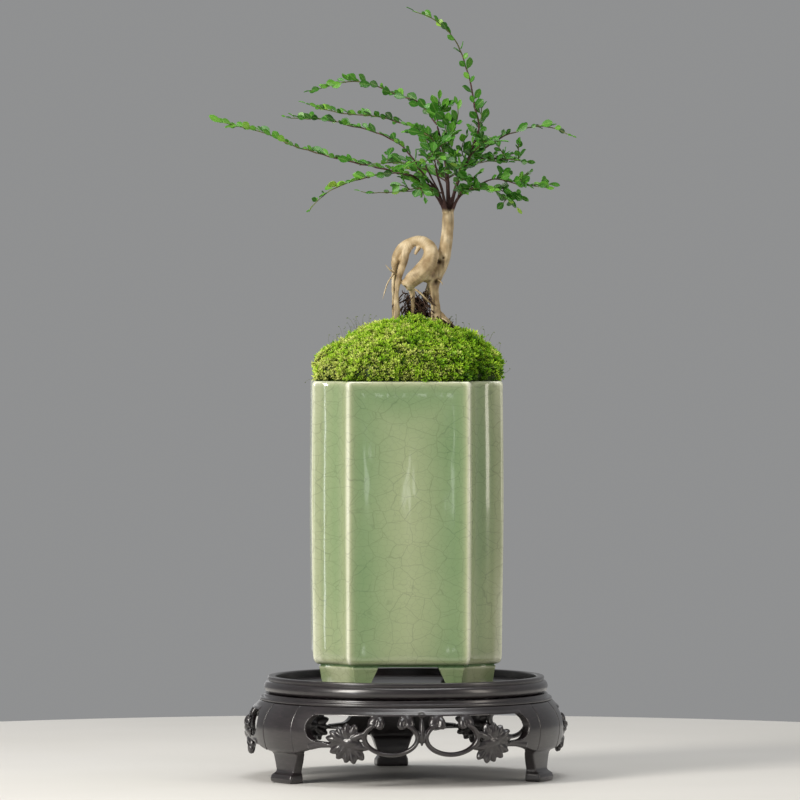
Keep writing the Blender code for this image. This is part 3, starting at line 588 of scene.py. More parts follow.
def carvedRound(flat, start, *names):
    # the same flat piece, bent three times round the stand
    for k, name in enumerate(names):
        piece = copied(flat, name)
        bentRound(piece, start + 2 * pi * k / 3)
        smoothShade(piece, 70)
        part, side = re.match("([a-z]+)([A-Z][a-z]+)", name).groups()
        finished(piece, "rosewood", rosewood, f"{part}_{side.lower()}")
    bpy.data.objects.remove(flat)


def slab(name, outline, front, back):
    # a flat sawn shape: outline of (x, z), thick from front to back
    obj = drawOutline(name, [(x * mm, -front * mm, z * mm) for x, z in outline])
    bpy.ops.mesh.edge_face_add()
    extrude(0, (front - back) * mm, 0)
    endSolid()
    return obj


def lobe(foot, tip, width, depth, out):
    # one carved leaf: a swollen pointed drop from foot to tip, standing out by that much
    across, up = tip[0] - foot[0], tip[1] - foot[1]
    length = hypot(across, up)
    bpy.ops.mesh.primitive_uv_sphere_add(
        segments=16, ring_count=10, radius=1,
        location=((foot[0] + tip[0]) / 2 * mm, -out * mm, (foot[1] + tip[1]) / 2 * mm),
        rotation=(0, -atan2(up, across), 0),
        scale=(length / 2 * 1.06 * mm, depth * mm, width / 2 * mm),
    )
    return placed(bpy.context.object)


carving = {
    "barBottom": 17.0,
    "ringMiddle": (14.0, 7.3),
    "ringHalf": (12.0, 7.4),
    "ringWall": 2.2,
    "neck": 3.7,
    "hook": 2.1,
    "endMiddle": (49.6, 11.2),
    "endRadius": 5.9,
    "leafFoot": (33.2, 4.8),
    "upperLeaves": [(30.2, 13.2), (34.4, 13.6), (38.6, 12.2), (42.0, 10.0), (44.2, 7.2)],
    "lowerLeaves": [(26.8, -2.4), (31.0, -4.2), (35.4, -3.8), (39.4, -2.0), (42.8, 0.6)],
    "stem": [
        (25.4, 3.0, 0.9), (30.0, 5.2, 1.15), (36.0, 5.0, 0.95),
        (42.0, 3.7, 0.85), (48.0, 3.4, 0.95), (54.0, 2.6, 1.3),
    ],
    "leafWidth": 4.7,
    "leafOut": (-0.9, -0.2, -0.6, 0.0, -0.5),
    "bead": 52,  # half the length of the bead along the bar
}


def carvedHalf():
    # the scroll ring, hooks, leaves and stem of one side
    parts = []
    across, up = carving["ringMiddle"]
    wide, tall = carving["ringHalf"]
    wall = carving["ringWall"]
    path = arcPoints((across, up), (wide, tall), 128, 412, 30)
    ring = bentTube("ring", [(x * mm, 1.2 * mm, z * mm) for x, z in path], wall / 2 * mm, 4, 2)
    points = meshPoints(ring)
    points[:, 1] = 1.3 * mm + (points[:, 1] - 1.2 * mm) * 1.9  # deeper than it is wide
    movePoints(ring, points)
    parts.append(ring)
    crest = [(across * mm + (x - across) * mm * 1.02, -0.5 * mm, z * mm) for x, z in path]
    parts.append(bentTube("ridge", crest, 0.42 * mm, 2, 2))
    for side in (-1, 1):
        hookAt = across + side * (carving["neck"] + carving["hook"] * 0.75)
        parts.append(lobe((hookAt, 16.8), (hookAt - side * 0.9, 11.2), 3.6, 2.3, -1.0))
        parts.append(lobe((hookAt - side * 1.6, 12.4), (hookAt + side * 1.7, 12.6), 2.6, 2.0, -0.9))
        parts.append(lobe((across + side * 10.0, 12.4), (across + side * 5.2, 18.4), 5.0, 2.1, -1.3))
    foot = carving["leafFoot"]
    for leaves in (carving["upperLeaves"], carving["lowerLeaves"]):
        for k, tip in enumerate(leaves):
            out = carving["leafOut"][k]
            parts.append(lobe(foot, tip, carving["leafWidth"] - 0.1 * k, 1.4, out))
            vein = (foot[0] + (tip[0] - foot[0]) * 0.35, foot[1] + (tip[1] - foot[1]) * 0.35)
            parts.append(lobe(vein, tip, 2.3, 1.3, out + 0.6))
    parts.append(lobe((28.4, 4.6), (37.4, 5.2), 5.0, 2.5, -0.7))
    parts.append(lobe((24.4, 9.6), (34.4, 5.8), 3.4, 1.8, -0.5))
    parts.append(lobe((24.0, 2.6), (34.4, 3.6), 3.2, 1.8, -0.5))
    stem = [(x * mm, 0.8 * mm, z * mm, r) for x, z, r in carving["stem"]]
    return [*parts, bentTube("stem", stem, 1.15 * mm, 3, 5)]


def makeAprons():
    end = apronHalf / mm + 0.12
    top = skirtHeight / mm
    barBottom = carving["barBottom"]
    arch = arcPoints(carving["endMiddle"], (carving["endRadius"], carving["endRadius"]), 90, -78, 12)
    lowerEdge = [(44.0, 4.9), (44.0, 3.6), (50.0, 2.9), (54.5, 1.6), (58.5, 0.4), (end, -0.5)]
    half = [*arch, *lowerEdge, (end, top)]
    outline = [*half, *[(-x, z) for x, z in half[::-1]]]
    board = slab("apronBoard", outline, 0.0, -skirt["thickness"] / mm)
    far, low, high = carving["bead"], barBottom - 0.1, barBottom + 0.9
    bead = slab("barBead", [(-far, low), (far, low), (far, high), (-far, high)], 0.45, -1.0)
    middle = [lobe((0, 16.4), (0, 4.0), 2.4, 1.9, -1.3), lobe((-2.4, 17.6), (2.4, 17.6), 2.4, 1.9, -1.0)]
    rightSide = carvedHalf()
    left = joined("leftSide", carvedHalf())
    points = meshPoints(left)
    points[:, 0] *= -1
    movePoints(left, points)
    startEdit(left)
    bpy.ops.mesh.flip_normals()
    endEdit()
    apron = joined("apronFront", [bead, *middle, *rightSide, left, board])
    applyModifier(apron, "REMESH", mode="VOXEL", voxel_size=skirt["grit"])
    applyModifier(apron, "SMOOTH", factor=0.5, iterations=2)
    carvedRound(apron, 0, "apronFrontCarved", "apronRightCarved", "apronLeftCarved")


legShape = {
    "half": 11.25,
    "depth": 7.0,
    # down from the top: height, half width, front and back, measured out from the knee's face
    "levels": [
        (15, 11.25, 0, -7), (8, 11.25, 0, -7), (3, 11.25, 0, -7),
        (0.3, 11.25, 0, -7), (-0.5, 11.1, -0.5, -6.8), (-1.1, 10.4, -2.2, -7.2),
        (-2.2, 10, -2.8, -7.6), (-6, 8.5, -3, -8), (-9.4, 7.3, -3, -8),
        (-10, 7.5, -2.6, -8), (-11.2, 8.1, -0.8, -8),
        (-12.6, 8.3, -0.4, -8), (-14.5, 8.3, -0.5, -8),
    ],
}


def makeLegs():
    half, depth, top = legShape["half"], legShape["depth"], skirtHeight / mm
    bpy.ops.mesh.primitive_plane_add(size=2 * half * mm, location=(0, depth / 2 * mm, top * mm))
    leg = placed(bpy.context.object, "legRear")
    startEdit(leg)
    centre = (0, depth / 2 * mm, top * mm)
    bpy.ops.transform.resize(value=(1, depth / (2 * half), 1), center_override=centre)
    front, back, wide, height = 0.0, -depth, half, top
    for level, newWide, newFront, newBack in legShape["levels"]:
        extrude(0, 0, (level - height) * mm)
        grow = (newFront - newBack) / (front - back)
        middle = -(front + back) / 2 * mm
        bpy.ops.transform.resize(value=(newWide / wide, grow, 1), center_override=(0, middle, level * mm))
        bpy.ops.transform.translate(value=(0, -(newFront + newBack) / 2 * mm - middle, 0))
        front, back, wide, height = newFront, newBack, newWide, level
    endSolid()
    edges = {"limit_method": "ANGLE", "angle_limit": radians(50)}
    applyModifier(leg, "BEVEL", width=0.5 * mm, segments=3, **edges)
    applyModifier(leg, "REMESH", mode="VOXEL", voxel_size=0.45 * mm)
    applyModifier(leg, "SMOOTH", factor=0.5, iterations=3)
    carvedRound(leg, pi / 3, "legRightTurned", "legRearTurned", "legLeftTurned")


makeRim()
makePanel()
makeCollar()
makeAprons()
makeLegs()
print("stand carved")

# ---- pot

potLow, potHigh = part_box("pot")
potMiddle = Vector(((potLow.x + potHigh.x) / 2, (potLow.y + potHigh.y) / 2, potLow.z))
potHeight = potHigh.z - potLow.z
potHalf = (potHigh.x - potLow.x) / 2
rimMiddle = Vector((potMiddle.x, potMiddle.y, potHigh.z))

potShape = {
    "cove": 14.8 * mm,
    "arris": 2.2 * mm,
    "poolDepth": 0.5 * mm,  # how far the faces sink beside their edges
    "poolReach": 6.5 * mm,
    "footHeight": 9.0 * mm,
    "gapHalf": 13.3 * mm,
    "gapFlare": 4.6 * mm,
    "drain": 7.0 * mm,  # radius of the hole in the floor
}
# inset from the widest line, height above the feet
potLevels = [
    (14, 9.6), (14, 0.5), (13.5, 0), (5.6, 0), (5, 0.35), (4.9, 1), (4.4, 4), (3.9, 7.2), (3.5, 8.5),
    (3.6, 8.9), (4.1, 9.15), (4.2, 9.4), (3.9, 9.65), (2.7, 9.95), (1.9, 10.4), (1.3, 11.2), (0.95, 12.4),
    (0.75, 14), (0.7, 17), (0.66, 22), (0.6, 28), (0.5, 36), (0.35, 46), (0.2, 56), (0.1, 66), (0, 76),
    (0, 86), (0.04, 96), (0.1, 104), (0.16, 111), (0.22, 117), (0.27, 121), (0.3, 124.5), (0.32, 127.5),
    (0.34, 130), (0.34, 132), (0.3, 133.6), (0.32, 134.6), (0.6, 135.3), (1.2, 135.85), (2, 136),
    (3, 135.95), (3.7, 135.5), (4.1, 134.7), (4.2, 133), (4.2, 15), (6, 13.5),
]


def pooled(distance):
    share = distance / potShape["poolReach"]
    return share * np.exp(1 - share)


def potRing(inset, height):
    # one level: each side is an arris, a sunk face, an arris and the cove that turns the corner
    face = potHalf - inset
    arris = max(potShape["arris"] - inset, 0.5 * mm)
    cove = potShape["cove"] + inset
    edgeAcross = face - arris
    edgeUp = potHalf - sqrt((cove + arris) ** 2 - (potHalf - edgeAcross) ** 2)
    lean = degrees(atan2(potHalf - edgeUp, potHalf - edgeAcross))
    firstArris = arcPoints((edgeAcross, edgeUp), (arris, arris), 0, lean, 5)
    hollow = arcPoints((potHalf, potHalf), (cove, cove), lean - 180, -90 - lean, 12)[1:-1]
    secondArris = [(y, x) for x, y in reversed(firstArris)]
    toRim = potHeight - height
    outside = inset < 3.4 * mm and height > 9.9 * mm
    fade = min(1.0, max(0.0, (height - 11 * mm) / (5 * mm))) if outside else 0.0
    straight = []
    for k in range(1, 22):
        share = k / 22
        spot = edgeUp * (1 - 2 * (0.5 - 0.5 * cos(pi * share)))
        beside = min(edgeUp - abs(spot), toRim)
        straight.append((face - potShape["poolDepth"] * fade * pooled(beside), -spot))
    side = [*straight, *firstArris, *hollow, *secondArris]
    ring = []
    for _ in range(4):
        ring += [Vector((potMiddle.x + x, potMiddle.y + y, potMiddle.z + height)) for x, y in side]
        side = [(-y, x) for x, y in side]
    return ring


def glazeThicknessAndShade(points):
    # 0 where it ran thin, 1 where it pooled; the groove above the foot is made darker as painted shade,
    # and its brinks paler as painted highlights
    local = np.abs(points - np.array(potMiddle))
    height = points[:, 2] - potMiddle.z
    far = np.maximum(local[:, 0], local[:, 1])
    near = np.minimum(local[:, 0], local[:, 1])
    edgeUp = potHalf - potShape["cove"] - potShape["arris"] * 0.6
    onFace = near < edgeUp
    fromArris = np.abs(near - edgeUp)
    toRim = np.clip(potHeight - height, 0, None)
    beside = np.minimum(fromArris, toRim)
    thick = np.where(onFace, 0.42 + 0.42 * pooled(beside), 0.0)
    around = np.hypot(potHalf - far, potHalf - near) - potShape["cove"]
    inCove = 0.42 + 0.34 * np.clip((near - edgeUp) / (5 * mm), 0, 1) * np.clip(1 - around / (2 * mm), 0, 1)
    thick = np.where(onFace, thick, inCove)
    thick -= 0.42 * bell(fromArris, 0, 1.5 * mm) * (far > potHalf - 4 * mm)
    thick -= 0.36 * bell(toRim, 0, 1.6 * mm)
    # painted shade darkens the groove above the foot, and painted highlights pale its two brinks
    groove = bell(height, 9.4 * mm, 0.7 * mm)
    brinkHighlight = bell(height, 10.9 * mm, 1.2 * mm) + bell(height, 8.2 * mm, 0.9 * mm)
    thick += 0.7 * groove - 0.25 * brinkHighlight
    foot = height < potShape["footHeight"]
    return np.clip(np.where(foot, thick - 0.06, thick), 0, 1)


def cutAway(obj, cutter):
    applyModifier(obj, "BOOLEAN", operation="DIFFERENCE", object=cutter, solver="EXACT")
    bpy.data.objects.remove(cutter)


def makePot():
    rings = [potRing(inset * mm, height * mm) for inset, height in potLevels]
    pot = stacked("celadonPot", rings)
    for turn in (0, pi / 2):
        size = (2 * potShape["gapHalf"], 0.2, potShape["footHeight"])
        bpy.ops.mesh.primitive_cube_add(size=1, location=(0, 0, 0), scale=size)
        cutter = placed(bpy.context.object)
        startEdit(cutter)
        choose(cutter, "FACE", lambda middle, face: face.normal.z < -0.9)
        wider = 1 + potShape["gapFlare"] / potShape["gapHalf"]
        bpy.ops.transform.resize(value=(wider, 1, 1), center_override=(0, 0, 0))
        bpy.ops.transform.translate(value=(0, 0, -1 * mm))
        endEdit()
        cutter.rotation_euler.z = turn
        cutter.location = (potMiddle.x, potMiddle.y, potLow.z + potShape["footHeight"] / 2)
        cutAway(pot, placed(cutter))
    hole = {"radius": potShape["drain"], "depth": 20 * mm}
    bpy.ops.mesh.primitive_cylinder_add(vertices=48, location=potMiddle + Vector((0, 0, 12 * mm)), **hole)
    cutAway(pot, placed(bpy.context.object))
    paint(pot, "glazeDepthAndShade", glazeThicknessAndShade(meshPoints(pot)))
    smoothShade(pot, 38)
    finished(pot, "celadon_glaze", celadon, "pot")


makePot()
print("pot glazed")

# ---- moss

mossLow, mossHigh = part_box("moss")
mound = {
    "edge": 1.0 * mm,
    "height": mossHigh.z - potHigh.z,
    "under": 1.6 * mm,  # the cushion, painted dark as shade, lies this far below the tips
    "hummock": 1.7 * mm,
    "slump": 3.2 * mm,  # the left flank hangs lower
    "crest": 2.6 * mm,  # and the moss heaps up in front of the roots
    "tufts": 6200,
    "stalks": 150,
}


def domeRing(lift):
    outline = potRing(mound["edge"], potHeight)[::4]
    flat = [Vector((p.x - rimMiddle.x, p.y - rimMiddle.y, 0)) for p in outline]
    roundRadius = sum(p.length for p in flat) / len(flat)
    roundness = min(1.0, 2.2 * sin(lift))
    ring = [p.lerp(p.normalized() * roundRadius, roundness) * cos(lift) for p in flat]
    up = mound["height"] * sin(lift)
    return [Vector((rimMiddle.x + p.x, rimMiddle.y + p.y, rimMiddle.z + up)) for p in ring]


def makeCushion():
    rings = [domeRing(radians(a)) for a in (0, 8, 16, 24, 32, 40, 48, 56, 64, 72, 80, 86)]
    cushion = stacked("mossCushion", rings)
    applyModifier(cushion, "REMESH", mode="VOXEL", voxel_size=1.1 * mm)
    applyModifier(cushion, "SMOOTH", factor=0.5, iterations=4)
    points = meshPoints(cushion)
    middle = np.array(rimMiddle)
    moved = points.copy()
    for k, point in enumerate(points):
        away = point - middle
        away /= max(np.linalg.norm(away), mm)
        hill = noise.noise(Vector(point) * 90.0) + 0.5 * noise.noise(Vector(point) * 210.0)
        if point[2] > potHigh.z + 0.4 * mm:
            across, inwards = point[:2] - middle[:2]
            slump = mound["slump"] * bell(across, -32 * mm, 11 * mm)
            crest = mound["crest"] * bell(across, 3 * mm, 9 * mm) * bell(inwards, -8 * mm, 6 * mm)
            moved[k] = point + away * (hill * mound["hummock"] - mound["under"] - slump + crest)
    movePoints(cushion, moved)
    return cushion


def makeTuft():
    # two whorls of little pointed leaves, 1 unit tall
    bpy.ops.mesh.primitive_plane_add(size=1, location=(0, 0, 0))
    tuft = placed(bpy.context.object, "tuft")
    shape = {
        (-0.5, -0.5): (0.04, 0.0, 0.0), (0.5, -0.5): (0.52, -0.27, 0.26),
        (0.5, 0.5): (0.92, 0.0, 0.40), (-0.5, 0.5): (0.52, 0.27, 0.36),
    }
    movePoints(tuft, [shape[(round(p[0], 1), round(p[1], 1))] for p in meshPoints(tuft)])
    startEdit(tuft)
    bpy.ops.mesh.spin(steps=5, dupli=True, angle=2 * pi, center=(0, 0, 0), axis=(0, 0, 1))
    endEdit()
    upper = copied(tuft, "upper")
    points = meshPoints(upper)
    spin = radians(36)
    across = points[:, 0] * cos(spin) - points[:, 1] * sin(spin)
    away = points[:, 0] * sin(spin) + points[:, 1] * cos(spin)
    reach = np.hypot(across, away)
    movePoints(upper, np.stack([across * 0.62, away * 0.62, 0.35 + 0.75 * reach], 1))
    tuft = joined("tuft", [upper, tuft])
    startEdit(tuft)
    bpy.ops.mesh.remove_doubles(threshold=0.0001)
    endEdit()
    points = meshPoints(tuft)
    reach = np.hypot(points[:, 0], points[:, 1])
    # how high each point sits in its tuft, which the moss material turns into painted shade lower down
    paint(tuft, "height", np.clip(points[:, 2] * 0.55 + reach * 0.6, 0, 1))
    return tuft


def aimed(place, along, size, spin):
    # a matrix that stands a unit shape on a place, along a direction
    turn = along.to_track_quat("Z", "Y").to_matrix().to_4x4()
    return Matrix.Translation(place) @ turn @ Matrix.Rotation(spin, 4, "Z") @ Matrix.Diagonal((*size, 1))


def bareGround(place):
    # no moss where the roots come out of the soil
    local = place - rimMiddle
    nest = ((local.x - 4.5 * mm) / (7.5 * mm)) ** 2 + ((local.y - 1.5 * mm) / (5.5 * mm)) ** 2
    slope = ((local.x - 18.5 * mm) / (6.0 * mm)) ** 2 + ((local.y + 0.5 * mm) / (5.0 * mm)) ** 2
    return min(nest, slope)


def makeMoss():
    cushion = makeCushion()
    chance = random.Random(11)
    bpy.context.view_layer.update()
    places = {"Left": [], "Right": []}
    tints = {"Left": [], "Right": []}
    middle = Vector((potMiddle.x, potMiddle.y, potHigh.z - 6 * mm))
    golden = pi * (3 - sqrt(5))
    for k in range(mound["tufts"]):
        rise = (k + 0.5) / mound["tufts"]
        rise = 0.02 + 0.98 * rise
        turn = k * golden
        flat = sqrt(1 - rise * rise)
        ray = Vector((flat * cos(turn), flat * sin(turn), rise * 0.92)).normalized()
        ray = (ray + Vector([chance.uniform(-0.02, 0.02) for _ in range(3)])).normalized()
        hit, place, normal, _ = cushion.ray_cast(middle + ray * 0.2, -ray)
        if not hit or place.z < potHigh.z + 0.3 * mm:
            continue
        bare = bareGround(place)
        if bare < 0.8 or (bare < 1.3 and chance.random() < 0.5):
            continue
        lean = Vector([chance.uniform(-0.8, 0.8) for _ in range(3)])
        along = (normal * 0.75 + Vector((0, 0, 0.55)) + lean).normalized()
        grown = 1.5 if chance.random() < 0.16 else 1.0
        tall = chance.uniform(1.3, 2.6) * grown * mm
        wide = chance.uniform(1.2, 2.0) * grown * mm
        spot = place - normal * 0.35 * mm
        patch = noise.noise(place * 60.0) * 0.5 + noise.noise(place * 170.0 + Vector((5, 5, 5))) * 0.45
        side = "Left" if place.x < potMiddle.x else "Right"
        tintWithSideShade = 0.62 + patch * 0.8 + chance.uniform(-0.35, 0.35)
        # paler on the left and darker on the right: painted light and shade
        tintWithSideShade -= 0.3 * (place.x - potMiddle.x) / potHalf
        places[side].append(aimed(spot, along, (wide, wide, tall), chance.uniform(0, 6.28)))
        tints[side].append(min(1, max(0, tintWithSideShade)))
    tuft = makeTuft()
    for side, spots in places.items():
        piece = scattered("mossTufts" + side, tuft, spots, {"tint": tints[side]})
        finished(piece, "moss", mossGreen, "moss")
    bpy.data.objects.remove(tuft)
    makeStalks(cushion, middle, chance)
    # the cushion gets a low height, so it is painted dark: painted shade under the tufts
    paint(cushion, "height", 0.28)
    paint(cushion, "tint", 0.2)
    smoothShade(cushion, 60)
    finished(cushion, "moss", mossGreen, "moss")


def makeStalks(cushion, middle, chance):
    # hair-thin fruiting stalks with a nodding capsule
    arc = [(0, 0, 0, 1), (0.03, 0, 0.4, 0.8), (0.1, 0, 0.8, 0.7), (0.2, 0, 0.97, 0.7)]
    stalk = bentTube("stalk", arc, 0.009, 0, 3)
    bpy.ops.mesh.primitive_uv_sphere_add(
        segments=6, ring_count=4, radius=1, location=(0.24, 0, 0.97), scale=(0.06, 0.024, 0.024)
    )
    capsule = placed(bpy.context.object)
    stalk = joined("stalk", [capsule, stalk])
    paint(stalk, "tip", 0.9 * meshPoints(stalk)[:, 2])
    places = []
    for _ in range(mound["stalks"]):
        turn = chance.uniform(0, 6.28)
        rise = chance.uniform(0.12, 0.85)
        flat = sqrt(1 - rise * rise)
        ray = Vector((cos(turn) * flat, sin(turn) * flat, rise))
        hit, place, normal, _ = cushion.ray_cast(middle + ray * 0.2, -ray)
        if hit and place.z > potHigh.z + 1 * mm:
            lean = Vector([chance.uniform(-0.5, 0.5) for _ in range(3)])
            along = (normal * 0.8 + Vector((0, 0, 0.7)) + lean).normalized()
            tall = chance.uniform(5.0, 8.5) * mm
            places.append(aimed(place, along, (tall, tall, tall), chance.uniform(0, 6.28)))
    piece = scattered("mossStalks", stalk, places, {})
    finished(piece, "moss", twigSkin)
    bpy.data.objects.remove(stalk)


makeMoss()
print("moss grown")

# ---- tree
# Routes in millimetres from the middle of the pot's rim: across, away, up, and the radius there.

tree = {
    "turn": radians(-1.5),
    "grit": 0.4 * mm,  # size of the mesh that the wood is carved in
    "ridge": 0.11 * mm,  # height of the loop's ring wrinkles
    "ridgeStep": 1.0 * mm,
    "lump": 0.35 * mm,
    "groove": 0.22 * mm,
    "woodTop": 78,  # where the old wood ends, above the rim
    "strands": 104,  # fine roots, most of them under the arch
    "underArch": 84,
    "crumbs": 1250,
    "heaped": 980,
}
stemRoute = [
    (15, 1, 2, 2), (14.6, 0, 14, 2.2), (14.4, 0, 24, 2.1), (13.7, 0, 32, 1.9), (12.9, 0, 37.4, 1.9),
    (12.6, -0.2, 41.2, 2.2), (12.9, -0.4, 44.9, 2.7), (14.2, -0.3, 48.2, 2.9), (15.7, 0, 51.6, 3.1),
    (16.8, 0, 55.2, 3.15), (17.6, 0, 59, 2.95), (18.2, 0, 63, 2.8), (18.6, 0, 67, 2.65),
    (18.9, 0, 71.4, 2.6), (19, 0, 74.6, 2.55), (19, 0, 76.2, 2.1),
]
loopRoute = [
    (-0.6, -3.4, 42, 2.3), (0.6, -3.8, 43, 3), (3, -4.2, 45.3, 3.6), (6.2, -4.5, 48.2, 4),
    (9.4, -4.3, 51.8, 3.95), (11.1, -3.7, 55.6, 3.6), (11, -2.9, 58.8, 3.25), (9.2, -2, 61.2, 2.8),
    (6.2, -1, 62.7, 2.35), (2.4, 0.2, 62, 2.2), (-1.3, 1.2, 59.9, 2.3), (-3.8, 1.8, 56.2, 2.3),
    (-4.9, 2, 52.6, 1.9), (-5.1, 2, 49.6, 1.3),
]
rootRoutes = [
    [(5.6, -3.4, 48.4, 3.3), (9.4, -2.2, 47.2, 3.4), (12.8, -0.6, 45.6, 3)],
    [(2, -1, 60.6, 1.7), (0.2, -2.2, 58, 2), (-0.9, -3, 53.8, 1.9), (-2.3, -3.8, 49.2, 1.6),
     (-3.5, -4.4, 44.8, 1.3), (-4.1, -4.8, 40.8, 1.1), (-4.3, -5, 36, 1.15), (-4.1, -5, 31.2, 1.3),
     (-4.3, -5, 24, 1.5), (-3.4, -4.2, 8, 1)],
    [(-3.2, 1.4, 57, 1.2), (-1.6, 0.2, 54.5, 1.4), (-1.6, -1.4, 51, 1.2)],
    [(6.4, -0.8, 61.6, 1.2), (5.4, -1.4, 59, 0.95), (3.9, -1.8, 56.6, 0.7)],
    [(-5.1, 2, 50, 1.2), (-5.6, 2.4, 44, 0.95), (-5.5, 2.6, 36, 0.85), (-6, 3, 24, 1), (-7.2, 4, 9, 0.8)],
    [(2.2, -2.8, 43.8, 1.7), (3, -1.2, 37, 1.1), (3.1, 0.2, 28, 1.1), (2.6, 1, 12, 0.9)],
    [(11.2, 1.4, 43.4, 1.7), (8.6, 4.6, 36, 1.2), (7, 7.2, 25, 1.2), (6, 9, 10, 0.8)],
    [(13.2, 0.4, 32, 1.4), (16.6, 0.4, 28.4, 1.3), (20.2, 0, 24.8, 1.2), (24, -0.6, 17, 1.1),
     (26.6, -1, 6, 0.8)],
    [(9.6, -2.4, 47, 2.3), (11.2, -2.2, 42.6, 1.2), (11.8, -1.8, 37, 0.9), (12, -1.4, 30, 0.9),
     (11, -1.4, 20, 0.8)],
]
limbRoutes = [
    [(17.6, -0.6, 74.6, 0.8), (15.4, -1, 82, 0.75), (12.6, -1.4, 87, 0.7), (9, -2.2, 91.4, 0.6),
     (5, -3.2, 96, 0.5)],
    [(18.8, 0.6, 74.6, 1), (18.9, 1, 86, 0.95), (18, 2, 97, 0.8), (16.2, 2, 106, 0.65),
     (14, 3, 114.5, 0.5)],
    [(19.8, 0.2, 74.6, 0.9), (22.5, 0, 87, 0.85), (27, 1, 97, 0.75), (30.6, 1, 106, 0.6),
     (32.9, 0, 113.5, 0.5)],
    [(20.2, -0.8, 74.6, 0.8), (24.3, -3, 83, 0.7), (30.6, -5, 86.6, 0.6), (37, -6, 89.8, 0.45)],
    [(18.8, 1.6, 74.6, 0.8), (18.8, 8, 87, 0.75), (17, 17, 94, 0.6), (14, 26, 100, 0.45)],
    [(18.4, -1.5, 74.6, 0.8), (16, -7, 86, 0.7), (14, -14, 92, 0.55), (13, -20, 97.5, 0.45)],
    [(17.2, 0.6, 74.6, 0.65), (15, 2, 84, 0.55), (11, 3, 92, 0.5), (7, 4, 100, 0.4)],
    [(17.9, -1.2, 74.6, 0.65), (14, -4, 82, 0.55), (10, -5, 87, 0.5), (6, -6, 90, 0.4)],
]
# hollows in the wood: where, and how wide
hollows = [
    ((14.9, -2.4, 53.2), 1.3), ((16.8, -2.9, 55), 0.7), ((13.7, -2.4, 44.2), 1.5),
    ((-0.4, -5.4, 41.6), 1), ((1, -2.6, 58.6), 0.8),
]
rootlets = [
    [(-9.2, -2, 51.9, 0.1), (-6.9, -1, 49.4, 0.35), (-4.3, 0.4, 47.8, 0.4)],
    [(-5, 0.8, 48.6, 0.35), (-6.6, -0.6, 46.4, 0.32), (-8.3, -1.6, 43.6, 0.3), (-9.5, -2.2, 40, 0.26),
     (-10.5, -2.4, 36.4, 0.06)],
    [(4, -5.2, 41, 0.45), (6.4, -5, 39.2, 0.42), (9, -4.2, 36.6, 0.38), (11.9, -2.6, 34, 0.2)],
    [(14.2, -2.2, 45.2, 0.35), (15.8, -3, 44.2, 0.3), (16.6, -3.2, 42.8, 0.08)],
    [(14.2, -2.4, 28.4, 0.3), (12.2, -4.6, 26.6, 0.32), (10.9, -6, 24.6, 0.3), (11.4, -6.8, 22.6, 0.1)],
    [(16, -1.6, 28, 0.3), (18.2, -3.6, 26.6, 0.3), (19.8, -4.8, 24.2, 0.08)],
]


def fromRim(across, away, up):
    c, s = cos(tree["turn"]), sin(tree["turn"])
    x, y = across * mm, away * mm
    return Vector((potMiddle.x + x * c - y * s, potMiddle.y + x * s + y * c, potHigh.z + up * mm))


def onTree(route):
    return [(*fromRim(*point[:3]), *point[3:]) for point in route]


def walked(route, step):
    # points about every step along a smooth curve through the route
    knots = [Vector(p[:3]) for p in route]
    knots = [knots[0] * 2 - knots[1], *knots, knots[-1] * 2 - knots[-2]]
    path = []
    for a, b, c, d in zip(knots, knots[1:], knots[2:], knots[3:]):
        count = max(1, round((c - b).length / step))
        for k in range(count):
            t = k / count
            bend = (2 * a - 5 * b + 4 * c - d) * t**2 + (3 * b - a - 3 * c + d) * t**3
            path.append((2 * b + (c - a) * t + bend) / 2)
    path.append(knots[-2])
    return path


